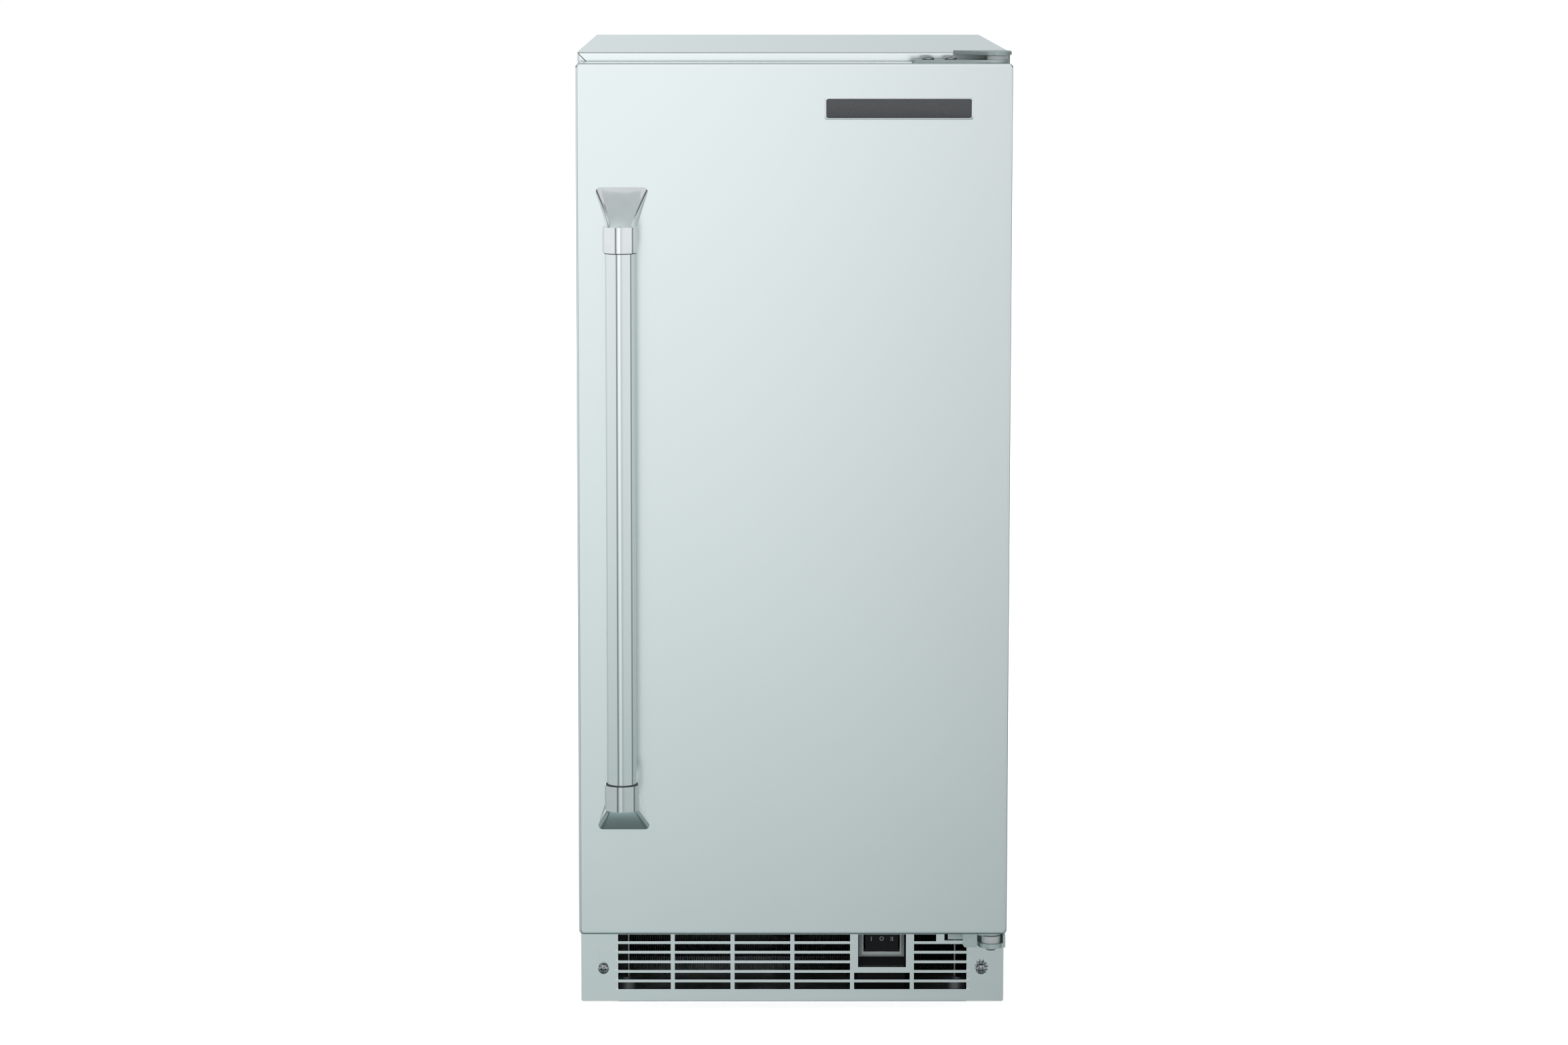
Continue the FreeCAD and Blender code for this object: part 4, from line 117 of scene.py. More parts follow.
class Signal:
    """An output socket. Arithmetic on it adds Math nodes to its tree."""

    def __init__(self, shade, socket):
        self.shade = shade
        self.socket = socket

    def math(self, operation, first, second):
        return self.shade.node("ShaderNodeMath", {"operation": operation}, {0: first, 1: second})

    def __add__(self, other):
        return self.math("ADD", self, other)

    def __radd__(self, other):
        return self.math("ADD", other, self)

    def __sub__(self, other):
        return self.math("SUBTRACT", self, other)

    def __rsub__(self, other):
        return self.math("SUBTRACT", other, self)

    def __mul__(self, other):
        return self.math("MULTIPLY", self, other)

    def __rmul__(self, other):
        return self.math("MULTIPLY", other, self)

    def __pow__(self, other):
        return self.math("POWER", self, other)

    def at_least(self, other):
        return self.math("MAXIMUM", self, other)

    def step(self, low, high):
        """0 below low, 1 above high and a smooth rise between."""
        return self.shade.node("ShaderNodeMapRange", {"interpolation_type": "SMOOTHSTEP"},
                               {"Value": self, "From Min": low, "From Max": high})


class Shade:
    """Node tree of one material or of the world."""

    def __init__(self, tree):
        self.tree = tree
        tree.nodes.clear()

    def node(self, kind, settings=None, inputs=None, output=0):
        made = self.tree.nodes.new(kind)
        for key, value in (settings or {}).items():
            setattr(made, key, value)
        for key, value in (inputs or {}).items():
            if isinstance(value, Signal):
                self.tree.links.new(value.socket, made.inputs[key])
            else:
                made.inputs[key].default_value = value
        return Signal(self, made.outputs[output]) if made.outputs else None

    def place(self):
        return self.node("ShaderNodeTexCoord", output="Object")

    def stretched(self, factors):
        return self.node("ShaderNodeVectorMath", {"operation": "MULTIPLY"}, {0: self.place(), 1: factors})

    def axis(self, vector, name):
        return self.node("ShaderNodeSeparateXYZ", inputs={0: vector}, output=name)

    def noise(self, scale, detail=2.0, rough=0.5, factors=(1.0, 1.0, 1.0)):
        return self.node("ShaderNodeTexNoise", inputs={"Vector": self.stretched(factors), "Scale": scale,
                                                       "Detail": detail, "Roughness": rough})

    def cells(self, scale, output="Distance"):
        return self.node("ShaderNodeTexVoronoi", {"feature": "F1"},
                         {"Vector": self.place(), "Scale": scale}, output)

    def blend(self, factor, first, second):
        pair = [value if isinstance(value, Signal) else opaque(value) for value in (first, second)]
        return self.node("ShaderNodeMix", {"data_type": "RGBA"}, {0: factor, 6: pair[0], 7: pair[1]}, 2)

    def bump(self, height, depth, strength):
        return self.node("ShaderNodeBump", inputs={"Height": height, "Distance": depth,
                                                   "Strength": strength})

    def surface(self, sockets):
        shader = self.node("ShaderNodeBsdfPrincipled", inputs=sockets)
        self.node("ShaderNodeOutputMaterial", inputs={"Surface": shader})


def opaque(colour):
    return (colour[0], colour[1], colour[2], 1.0)


def tinted(colour, factor):
    """The same colour made darker or paler, kept below white."""
    return tuple(min(PALEST, channel * factor) for channel in colour[:3])


def material(name):
    made = bpy.data.materials.new(name)
    made.use_nodes = True
    return made, Shade(made.node_tree)


# Finishes


def brushed_steel(name, colour, grain, rough, spread=0.0, relief=0.00004):
    """Satin sheet: fine brush lines drawn out along the two short factors of the grain, and slow clouding.

    The spread blurs reflections across level brush lines more than along them.
    """
    made, shade = material(name)
    lines = shade.noise(1.0, detail=4.0, rough=0.65, factors=grain)
    clouds = shade.noise(4.0, detail=3.0, rough=0.55)
    tone = lines * 0.45 + clouds * 0.55
    shade.surface({
        "Base Color": shade.blend(tone.step(0.25, 0.75), tinted(colour, 0.98), tinted(colour, 1.015)),
        "Metallic": 1.0,
        "Roughness": rough + (lines - 0.5) * 0.05 + (clouds - 0.5) * 0.03,
        "Anisotropic": spread,
        "Anisotropic Rotation": QUARTER_TURN,
        "Normal": shade.bump(lines, relief, 0.12),
    })
    return made


def polished_metal(name, colour, rough):
    """Bright plated metal with a trace of buffing haze and fine pits."""
    made, shade = material(name)
    haze = shade.noise(60.0, detail=4.0, rough=0.6)
    pits = shade.noise(900.0)
    shade.surface({
        "Base Color": shade.blend(haze.step(0.3, 0.7), tinted(colour, 0.95), colour[:3]),
        "Metallic": 1.0,
        "Roughness": rough + (haze - 0.5) * 0.05,
        "Normal": shade.bump(pits, 0.00002, 0.25),
    })
    return made


def zinc_sheet(name, colour):
    """Galvanised sheet with its crystal spangle and a dull bloom."""
    made, shade = material(name)
    spangle = shade.axis(shade.cells(95.0, "Color"), "X")
    fine = shade.noise(420.0, detail=3.0, rough=0.6)
    bloom = shade.noise(7.0, detail=4.0, rough=0.6).step(0.45, 0.7)
    tone = spangle * 0.7 + fine * 0.3
    crystal = shade.blend(tone, tinted(colour, 0.84), tinted(colour, 1.14))
    shade.surface({
        "Base Color": shade.blend(bloom * 0.35, crystal, tinted(colour, 1.10)),
        "Metallic": 0.9 - bloom * 0.25,
        "Roughness": 0.38 + spangle * 0.14 + bloom * 0.12,
        "Normal": shade.bump(fine, 0.00003, 0.3),
    })
    return made


def plate_steel(name, colour):
    """Thick pressed steel with mill mottling and rubbed paler patches."""
    made, shade = material(name)
    mottle = shade.noise(70.0, detail=5.0, rough=0.65)
    rubbed = shade.noise(18.0, detail=3.0, rough=0.6).step(0.52, 0.72)
    fine = shade.noise(800.0)
    dull = shade.blend(mottle, tinted(colour, 0.78), tinted(colour, 1.18))
    shade.surface({
        "Base Color": shade.blend(rubbed * 0.5, dull, tinted(colour, 1.5)),
        "Metallic": 1.0,
        "Roughness": 0.42 + (mottle - 0.5) * 0.2 - rubbed * 0.08,
        "Normal": shade.bump(fine, 0.00004, 0.4),
    })
    return made


def moulded(name, colour, rough, pebble, depth, wear=0.04, gloss=0.5):
    """Moulded plastic: pebbled skin, slight shade drift and scuffs in the gloss."""
    made, shade = material(name)
    skin = shade.noise(pebble)
    drift = shade.noise(6.0, detail=3.0, rough=0.6)
    scuff = shade.noise(45.0, detail=4.0, rough=0.7, factors=(1.0, 1.0, 0.25)).step(0.55, 0.75)
    base = shade.blend(drift, tinted(colour, 1.0 - wear), tinted(colour, 1.0 + wear))
    shade.surface({
        "Base Color": shade.blend(scuff * 0.12, base, tinted(colour, 1.0 + 3 * wear)),
        "Roughness": rough + (skin - 0.5) * 0.10 + scuff * 0.08,
        "Specular IOR Level": gloss,
        "Normal": shade.bump(skin, depth, 0.5),
    })
    return made


def foam_fill(name, colour):
    """Cut rigid foam with open cells."""
    made, shade = material(name)
    cell = shade.cells(650.0)
    drift = shade.noise(14.0, detail=3.0, rough=0.6)
    tone = cell.step(0.1, 0.7) * 0.5 + drift * 0.5
    shade.surface({
        "Base Color": shade.blend(tone, tinted(colour, 0.86), tinted(colour, 1.06)),
        "Roughness": 0.85 + (drift - 0.5) * 0.2,
        "Normal": shade.bump(cell, 0.0004, 0.6),
    })
    return made


def soft_rubber(name, colour, rough):
    """Rubber with a matt skin, fine flow lines and a little dust."""
    made, shade = material(name)
    skin = shade.noise(1200.0)
    dust = shade.noise(25.0, detail=4.0, rough=0.65).step(0.5, 0.8)
    shade.surface({
        "Base Color": shade.blend(dust * 0.35, colour[:3], tinted(colour, 1.9)),
        "Roughness": rough + dust * 0.15,
        "Normal": shade.bump(skin, 0.00005, 0.4),
    })
    return made


def drawn_tube(name, colour, tarnish_and_shade):
    """Drawn copper or brass: fine draw lines and darker patches, tarnish on bare tubes and painted shade on
    the darkened lines.
    """
    made, shade = material(name)
    lines = shade.noise(1.0, detail=3.0, rough=0.6, factors=(900.0, 900.0, 30.0))
    patches = shade.noise(32.0, detail=4.0, rough=0.65).step(0.48, 0.72)
    bright = shade.blend(lines, tinted(colour, 0.93), tinted(colour, 1.05))
    shade.surface({
        "Base Color": shade.blend(patches * 0.55, bright, tarnish_and_shade),
        "Metallic": 1.0,
        "Roughness": 0.24 + lines * 0.08 + patches * 0.20,
        "Normal": shade.bump(lines, 0.00003, 0.3),
    })
    return made


def black_paint(name, colour):
    """Semi-gloss black enamel with orange peel and settled dust."""
    made, shade = material(name)
    peel = shade.noise(260.0)
    dust = shade.noise(20.0, detail=4.0, rough=0.65).step(0.5, 0.78)
    shade.surface({
        "Base Color": shade.blend(dust * 0.3, colour[:3], (0.11, 0.11, 0.105)),
        "Roughness": 0.32 + dust * 0.25,
        "Coat Weight": 0.3 - dust * 0.2,
        "Normal": shade.bump(peel, 0.00008, 0.35),
    })
    return made


def clear_moulding(name, colour):
    """Clear plastic with flow marks and a frosted bloom."""
    made, shade = material(name)
    flow = shade.noise(30.0, detail=3.0, rough=0.6, factors=(1.0, 1.0, 0.3))
    bloom = shade.noise(12.0, detail=3.0, rough=0.6).step(0.45, 0.75)
    shade.surface({
        "Base Color": shade.blend(bloom, colour[:3], tinted(colour, 1.08)),
        "Roughness": 0.12 + bloom * 0.18,
        "Transmission Weight": 0.75,
        "IOR": 1.45,
        "Normal": shade.bump(flow, 0.0002, 0.3),
    })
    return made


# Meshes


def rounded_outline(width, height, radius, steps=6):
    """Corner points of a rounded rectangle about the origin, in order."""
    points = []
    for quarter, (sx, sy) in enumerate(((1, 1), (-1, 1), (-1, -1), (1, -1))):
        centre = Vector((sx * (width / 2 - radius), sy * (height / 2 - radius)))
        for step in range(steps + 1):
            angle = math.pi / 2 * (quarter + step / steps)
            points.append(centre + radius * Vector((math.cos(angle), math.sin(angle))))
    return points


def skinned(mesh, lower, upper):
    """Faces between two closed loops of corners."""
    count = len(lower)
    for index in range(count):
        after = (index + 1) % count
        mesh.faces.new((lower[index], lower[after], upper[after], upper[index]))


def lofted(mesh, rings, close_first=True):
    """Skin through rings of points that all have the same count, closed at the last one."""
    loops = [[mesh.verts.new(point) for point in ring] for ring in rings]
    for lower, upper in zip(loops, loops[1:]):
        skinned(mesh, lower, upper)
    if close_first:
        mesh.faces.new(tuple(reversed(loops[0])))
    mesh.faces.new(tuple(loops[-1]))


def looped(mesh, rings):
    """Skin through rings of points and from the last one back to the first."""
    loops = [[mesh.verts.new(point) for point in ring] for ring in rings]
    for first, second in zip(loops, loops[1:] + loops[:1]):
        skinned(mesh, first, second)


def around(count):
    """Evenly spaced angles of one whole turn."""
    return [2 * math.pi * index / count for index in range(count)]


def turned(mesh, profile, count=32):
    """Turned shape about local Z from (radius, height) points, closed at both ends."""
    lofted(mesh, [[Vector((radius * math.cos(angle), radius * math.sin(angle), height))
                   for angle in around(count)] for radius, height in profile])


def boxed(mesh, low, high):
    outline = ((low[0], low[1]), (high[0], low[1]), (high[0], high[1]), (low[0], high[1]))
    lofted(mesh, [[Vector((x, y, z)) for x, y in outline] for z in (low[2], high[2])])


def piece(name, mesh, finish, body, sharp=35.0):
    """Turns a finished mesh into a named piece that rides on a body."""
    bmesh.ops.recalc_face_normals(mesh, faces=mesh.faces[:])
    data = bpy.data.meshes.new(name)
    mesh.to_mesh(data)
    mesh.free()
    data.shade_smooth()
    data.set_sharp_from_angle(angle=math.radians(sharp))
    data.materials.append(finish)
    made = bpy.data.objects.new(name, data)
    bpy.context.scene.collection.objects.link(made)
    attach(made, body)
    return made


def islands(node):
    """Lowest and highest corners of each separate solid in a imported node."""
    data = frame["nodes"][node].data
    digits = 5
    owner = {}
    parent = []

    def find(item):
        while parent[item] != item:
            parent[item] = parent[parent[item]]
            item = parent[item]
        return item

    keys = []
    for vertex in data.vertices:
        key = tuple(round(value, digits) for value in vertex.co)
        if key not in owner:
            owner[key] = len(parent)
            parent.append(len(parent))
        keys.append(owner[key])
    for polygon in data.polygons:
        first = find(keys[polygon.vertices[0]])
        for other in polygon.vertices[1:]:
            parent[find(keys[other])] = first
    found = {}
    for vertex, key in zip(data.vertices, keys):
        found.setdefault(find(key), []).append(vertex.co)
    boxes = []
    for points in found.values():
        low = Vector([min(point[axis] for point in points) for axis in range(3)])
        high = Vector([max(point[axis] for point in points) for axis in range(3)])
        boxes.append((low, high))
    return sorted(boxes, key=lambda pair: tuple(pair[0]))


def cut_from(target, cutter):
    """Mesh data of the target with the cutter taken out of it."""
    made = []
    for name, mesh in (("target", target), ("cutter", cutter)):
        bmesh.ops.recalc_face_normals(mesh, faces=mesh.faces[:])
        data = bpy.data.meshes.new(name)
        mesh.to_mesh(data)
        mesh.free()
        made.append(bpy.data.objects.new(name, data))
        bpy.context.scene.collection.objects.link(made[-1])
    modifier = made[0].modifiers.new("cut", "BOOLEAN")
    modifier.operation = "DIFFERENCE"
    modifier.solver = "EXACT"
    modifier.object = made[1]
    bpy.context.view_layer.update()
    solved = made[0].evaluated_get(bpy.context.evaluated_depsgraph_get())
    result = bpy.data.meshes.new_from_object(solved)
    for item in made:
        data = item.data
        bpy.data.objects.remove(item)
        bpy.data.meshes.remove(data)
    return result


def crosshead_screw(rim, height, shank, length, recess):
    """Pan-head screw along local Z, head up from 0, with a tapered cross recess."""
    head = bmesh.new()
    edge = height * 0.35
    bottom = height * 0.12
    above = height * 1.3
    steps = 6
    dome = [(rim * math.cos(angle), edge + (height - edge) * math.sin(angle))
            for angle in (math.pi / 2 * step / steps for step in range(1, steps))]
    profile = [(shank * 0.6, -length), (shank, -length + shank * 0.8), (shank, 0.0), (rim * 0.97, 0.0),
               (rim, edge * 0.3), (rim, edge)] + dome + [(rim * 0.08, height)]
    turned(head, profile)
    cross = bmesh.new()
    rings = []
    for level, arm, half in ((above, recess, recess * 0.24), (bottom, recess * 0.45, recess * 0.16)):
        rings.append([Matrix.Rotation(math.pi / 2 * quarter, 4, "Z") @ Vector((x, y, level))
                      for quarter in range(4) for x, y in ((arm, -half), (arm, half), (half, half))])
    lofted(cross, rings)
    return cut_from(head, cross)


def screw_set(name, template, places, finish, body, node=None):
    """One piece with a copy of the screw at each place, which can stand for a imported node."""
    mesh = bmesh.new()
    for place in places:
        copy = template.copy()
        copy.transform(place)
        mesh.from_mesh(copy)
        bpy.data.meshes.remove(copy)
    made = piece(name, mesh, finish, body, 30.0)
    if node:
        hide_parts(node)


def facing(centre, outward, spin=0.0):
    """Matrix that sets local Z along the outward axis at the centre, turned about it by the spin."""
    turn = Vector(UPWARD).rotation_difference(Vector(outward)).to_matrix().to_4x4()
    return Matrix.Translation(centre) @ turn @ Matrix.Rotation(spin, 4, "Z")


# Settings


def colour_setting(name, description, default):
    return bpy.props.FloatVectorProperty(name=name, description=description, default=default, size=3,
                                         min=0.0, max=1.0, subtype="COLOR")


def length_setting(name, description, default):
    return bpy.props.FloatProperty(name=name, description=description, default=default, unit="LENGTH",
                                   precision=4)


def share_setting(name, description, default):
    return bpy.props.FloatProperty(name=name, description=description, default=default, min=0.0, max=1.0,
                                   subtype="FACTOR")


def level_setting(name, description, default):
    return bpy.props.FloatProperty(name=name, description=description, default=default, min=0.0,
                                   soft_max=2.0)


def number_setting(name, description, default):
    return bpy.props.FloatProperty(name=name, description=description, default=default)


class IceFinishes(bpy.types.PropertyGroup):
    """Colours and gloss of the finishes."""

    stainless: colour_setting("Stainless", "Satin sheet of the door and cabinet", (0.725, 0.78, 0.785))
    stainless_rough: share_setting("Sheet roughness", "Roughness of the satin sheet", 0.20)
    spread: share_setting("Brush spread", "How far reflections stretch up and down", 0.80)
    tube_rough: share_setting("Tube roughness", "Roughness of the handle's tube", 0.12)
    chrome: colour_setting("Chrome", "Plated handle ends and badge rim", (0.74, 0.775, 0.78))
    chrome_rough: share_setting("Chrome roughness", "Roughness of the plated castings", 0.06)
    zinc: colour_setting("Zinc", "Galvanised base, deck and rear sheets", (0.50, 0.53, 0.54))
    hinge: colour_setting("Hinge steel", "Hinge brackets and door plates", (0.36, 0.42, 0.415))
    screw: colour_setting("Screws", "Plated screws, pins and rods", (0.34, 0.36, 0.36))
    liner: colour_setting("Liner", "White moulded bin and door liners", (0.80, 0.83, 0.83))
    foam: colour_setting("Foam", "Rigid foam between the skins", (0.72, 0.60, 0.34))
    seal: colour_setting("Seal", "Magnetic door gasket", (0.045, 0.048, 0.05))
    black: colour_setting("Black plastic", "Rocker, pump, gland and control box", (0.007, 0.007, 0.008))
    grey: colour_setting("Grey plastic", "Switch bezel, chute and water fittings", (0.50, 0.55, 0.545))
    nylon: colour_setting("Nylon", "Bushes, thrust washer and float", (0.52, 0.57, 0.565))
    copper: colour_setting("Copper", "Refrigerant lines and coil", (0.72, 0.33, 0.19))
    brass: colour_setting("Brass", "Valve bodies", (0.70, 0.50, 0.20))
    tin: colour_setting("Tinned copper", "Evaporator plate and cups", (0.66, 0.68, 0.68))
    aluminium: colour_setting("Aluminium", "Fan blades", (0.60, 0.62, 0.63))
    fins: colour_setting("Near-black fins", "Condenser fins, near black", (0.005, 0.0055, 0.006))
    enamel: colour_setting("Black enamel", "Compressor and fan motor", (0.018, 0.018, 0.02))
    clear: colour_setting("Clear plastic", "Ice curtain and water tube", (0.82, 0.88, 0.89))
    rubber: colour_setting("Rubber", "Compressor feet", (0.025, 0.025, 0.025))
    marks: colour_setting("Marks", "Printed switch marks", (0.42, 0.44, 0.44))


class IceTrim(bpy.types.PropertyGroup):
    """Sizes of the small trim, the colour of its sealant and of the handle's painted shade rings."""

    badge_x: length_setting("Badge place across", "Badge's middle right of the door's middle", 0.0905)
    badge_drop: length_setting("Badge drop", "Middle of the blank badge below the door's top", 0.039)
    badge_width: length_setting("Badge width", "Width of the blank badge", 0.128)
    badge_height: length_setting("Badge height", "Height of the blank badge", 0.019)
    badge_thick: length_setting("Badge thickness", "How far the badge stands off the door", 0.0022)
    badge_rim: length_setting("Badge rim", "Width of the badge's bright rim", 0.0013)
    fin_pitch: length_setting("Fin pitch", "Spacing of the condenser fins", 0.0021)
    fin_sheet: length_setting("Fin sheet", "Thickness of a condenser fin", 0.0003)
    # The handle's rings are painted shade; their colour is shared with the real mitre sealant.
    shade_ring_width: length_setting("Shade ring width", "How far the handle's painted shade rings stand off the tube", 0.0012)
    sealant_and_shade_colour: colour_setting("Sealant and shade", "Handle's painted shade rings and mitre sealant", (0.05, 0.056, 0.056))
    mitre_width: length_setting("Mitre seam", "Width of the sealant in the cabinet's mitres", 0.0005)
    shade_ring_height: length_setting("Shade ring height", "Height of the handle's painted shade rings", 0.0009)
    mark_height: length_setting("Mark height", "Height of the switch marks", 0.0038)
    mark_stroke: length_setting("Mark stroke", "Line width of the switch marks", 0.0006)
    washer_teeth: bpy.props.IntProperty(name="Washer teeth", description="Teeth of the lock washer",
                                        default=12, min=6, max=24)


class IceStage(bpy.types.PropertyGroup):
    """Camera, lamps and floor."""

    distance: length_setting("Camera distance", "Camera to the door's front", 3.70)
    camera_x: length_setting("Camera across", "Camera to the right of the middle", -0.0424)
    camera_z: length_setting("Camera height", "Camera above the floor", 0.975)
    pitch: bpy.props.FloatProperty(name="Camera pitch", description="Camera tilt below level",
                                   default=math.radians(7.28), subtype="ANGLE")
    lens: number_setting("Lens", "Focal length in millimetres", 98.3)
    shift_x: number_setting("Shift across", "Camera shift across", 0.0249)
    shift_y: number_setting("Shift up", "Camera shift up", -0.045)
    ambient: share_setting("Ambient", "Even light from all round", 0.55)
    left_wall: level_setting("Left wall", "Mirrored level to the left", 1.10)
    panel: level_setting("Front panel", "Mirrored level of the front panel", 0.89)
    glint: level_setting("Panel glint", "Level added at the brightest part of the front panel", 0.48)
    right_near: level_setting("Right wall", "Mirrored level right of the panel", 1.08)
    right_far: level_setting("Far right wall", "Mirrored level to the far right", 0.60)
    back_wall: level_setting("Back wall", "Mirrored level behind", 0.87)
    ceiling: level_setting("Ceiling", "Mirrored level overhead", 0.84)
    zenith: level_setting("Dark overhead", "Share of light missing high up behind", 0.75)
    seam: level_setting("Panel seams", "Share of light in the dark seams beside the panel", 0.36)
    side_shade: level_setting("Side shade", "Share of light missing high up at both sides", 0.88)
    low: level_setting("Low level", "Share of light from below the eye", 0.05)
    near_floor: level_setting("Near floor", "Share of light from the floor close by", 0.75)
    under: level_setting("Under level", "Share of light from underneath", 0.20)
    key: number_setting("Key lamp", "Power of the front left lamp in watts", 34.0)
    fill: number_setting("Fill lamp", "Power of the lamp above in watts", 26.0)
    floor: share_setting("Floor", "Grey level of the floor", 0.80)
    glow: share_setting("Floor glow", "White added to the floor beside the cabinet", 0.66)


# Operators


def finishes():
    return bpy.context.scene.ice_finishes


def trim():
    return bpy.context.scene.ice_trim


def dress(finish, nodes):
    """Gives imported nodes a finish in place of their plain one."""
    for name in nodes:
        slots = frame["nodes"][name].material_slots
        if not slots:
            raise RuntimeError(name + " has no material slot")
        for entry in slots:
            entry.material = finish


def slot_nodes(slot):
    return [row["node"] for row in frame["record"]["subparts"] if row["material_slot"] == slot]


class ICE_OT_outer_finish(bpy.types.Operator):
    """Finishes of the door, cabinet, handle, hinges and switch"""

    bl_idname = "ice.outer_finish"
    bl_label = "Outer Finishes"

    def execute(self, context):
        look = finishes()
        steel = look.stainless
        level = (7.0, 7.0, 1500.0)
        dress(brushed_steel("Satin stainless", steel, level, look.stainless_rough, look.spread),
              slot_nodes("stainless"))
        top = (7.0, 1500.0, 7.0)
        dress(brushed_steel("Satin stainless top", steel, top, look.stainless_rough), ["top_panel"])
        upright = (1200.0, 1200.0, 9.0)
        dress(brushed_steel("Drawn stainless tube", steel, upright, look.tube_rough, relief=0.00001),
              ["handle_tube"])
        dress(polished_metal("Plated casting", look.chrome, look.chrome_rough), slot_nodes("cast_chrome"))
        dress(plate_steel("Hinge steel", look.hinge), slot_nodes("hinge_steel"))
        # Painted light: the lower hinge and its door plate get a paler copy of the hinge steel, standing for
        # light their low place doesn't get.
        dress(plate_steel("Lower hinge steel painted paler", tinted(look.hinge, 1.4)),
              ["lower_hinge_bracket", "lower_door_plate"])
        dress(polished_metal("Plated screw", look.screw, rough=0.24), slot_nodes("zinc_screw"))
        dress(moulded("Grey moulding", look.grey, rough=0.42, pebble=700.0, depth=0.00006),
              slot_nodes("grey_plastic"))
        dress(moulded("Black moulding", look.black, rough=0.42, pebble=900.0, depth=0.00006, wear=0.15,
                      gloss=0.18), slot_nodes("black_plastic"))
        dress(moulded("Nylon", look.nylon, rough=0.40, pebble=500.0, depth=0.00003), slot_nodes("nylon"))
        return {"FINISHED"}


class ICE_OT_works_finish(bpy.types.Operator):
    """Finishes of the bin, freezing section and machine compartment"""

    bl_idname = "ice.works_finish"
    bl_label = "Bin and Works"

    def execute(self, context):
        look = finishes()
        dress(zinc_sheet("Galvanised sheet", look.zinc), slot_nodes("galvanised"))
        dress(moulded("White liner", look.liner, rough=0.34, pebble=240.0, depth=0.00010, wear=0.02),
              slot_nodes("white_liner"))
        dress(foam_fill("Rigid foam", look.foam), slot_nodes("foam"))
        dress(soft_rubber("Seal rubber", look.seal, rough=0.55), slot_nodes("seal"))
        dress(drawn_tube("Drawn copper", look.copper, tarnish_and_shade=(0.20, 0.095, 0.06)), slot_nodes("copper"))
        # Painted shade: the discharge and liquid lines get a near-black copy of the copper, standing for the
        # shade behind the grille slots.
        shade_dark_copper = tinted(look.copper, 0.10)
        dress(drawn_tube("Copper darkened as painted shade", shade_dark_copper, tarnish_and_shade=(0.022, 0.016, 0.013)),
              ["discharge_line", "liquid_line"])
        dress(drawn_tube("Cast brass", look.brass, tarnish_and_shade=(0.26, 0.17, 0.06)),
              slot_nodes("brass_fitting"))
        dress(polished_metal("Tinned copper", look.tin, rough=0.30), slot_nodes("tin_copper"))
        dress(polished_metal("Fan aluminium", look.aluminium, rough=0.34), ["fan_blades"])
        dress(black_paint("Black enamel", look.enamel), slot_nodes("black_steel"))
        dress(clear_moulding("Clear moulding", look.clear), slot_nodes("clear_plastic"))
        dress(soft_rubber("Foot rubber", look.rubber, rough=0.65), slot_nodes("rubber_foot"))
        return {"FINISHED"}


class ICE_OT_badge(bpy.types.Operator):
    """Blank badge plate at the door's upper right"""

    bl_idname = "ice.badge"
    bl_label = "Blank Badge"

    def execute(self, context):
        size = trim()
        low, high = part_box("door_skin")
        middle = Vector((size.badge_x, low.y, high.z - size.badge_drop))
        thick, rim = size.badge_thick, size.badge_rim
        corner = 2.0 * MM
        soft = 0.4 * MM
        gap = 0.04 * MM
        bed = thick * 0.45

        def ring(inset, proud):
            outline = rounded_outline(size.badge_width - 2 * inset, size.badge_height - 2 * inset, corner)
            return [middle + Vector((point.x, -proud, point.y)) for point in outline]

        mesh = bmesh.new()
        lofted(mesh, [ring(0.0, 0.0), ring(0.0, thick - soft), ring(soft * 0.3, thick - soft * 0.3),
                      ring(soft, thick), ring(rim - soft, thick), ring(rim, thick - soft), ring(rim, bed)])
        finish = polished_metal("Badge rim", finishes().chrome, rough=0.18)
        piece("badge_rim", mesh, finish, "door")
        made, shade = material("Badge field")
        stipple = shade.cells(2200.0)
        drift = shade.noise(40.0, detail=3.0, rough=0.6)
        shade.surface({
            "Base Color": shade.blend(stipple.step(0.1, 0.6), (0.055, 0.058, 0.06), (0.10, 0.105, 0.108)),
            "Metallic": 0.6,
            "Roughness": 0.42 + (drift - 0.5) * 0.12,
            "Normal": shade.bump(stipple, 0.0001, 0.5),
        })
        mesh = bmesh.new()
        inner = rim + gap
        lofted(mesh, [ring(inner, bed), ring(inner, thick * 0.62), ring(inner + soft, thick * 0.68)])
        piece("badge_field", mesh, made, "door")
        return {"FINISHED"}


class ICE_OT_handle_shade_rings(bpy.types.Operator):
    """Painted shade: dark rings where the handle's tube enters its cast ends, standing for the shadow gap
    there
    """

    bl_idname = "ice.handle_seals"
    bl_label = "Handle Shade Rings"

    def execute(self, context):
        low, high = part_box("handle_tube")
        middle = (low + high) / 2
        radius = (high.x - low.x) / 2
        wide, tall = trim().shade_ring_width, trim().shade_ring_height
        profile = [(0.0, 0.0), (wide * 0.7, 0.0), (wide, tall * 0.35), (wide, tall * 0.65),
                   (wide * 0.7, tall), (0.0, tall)]
        mesh = bmesh.new()
        for mouth, side in ((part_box("handle_end_lower")[1].z, 1), (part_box("handle_end_upper")[0].z, -1)):
            foot = Vector((middle.x, middle.y, mouth))
            rings = []
            for angle in around(48):
                across = Vector((math.cos(angle), math.sin(angle), 0.0))
                rings.append([foot + across * (radius + out) + Vector((0.0, 0.0, side * rise))
                              for out, rise in profile])
            looped(mesh, rings)
        # Painted shade: a near-black ring standing for the shadow gap at each collar's mouth.
        finish = soft_rubber("Handle painted shade ring", trim().sealant_and_shade_colour, rough=0.6)
        piece("handle_seals", mesh, finish, "door", 40.0)
        return {"FINISHED"}


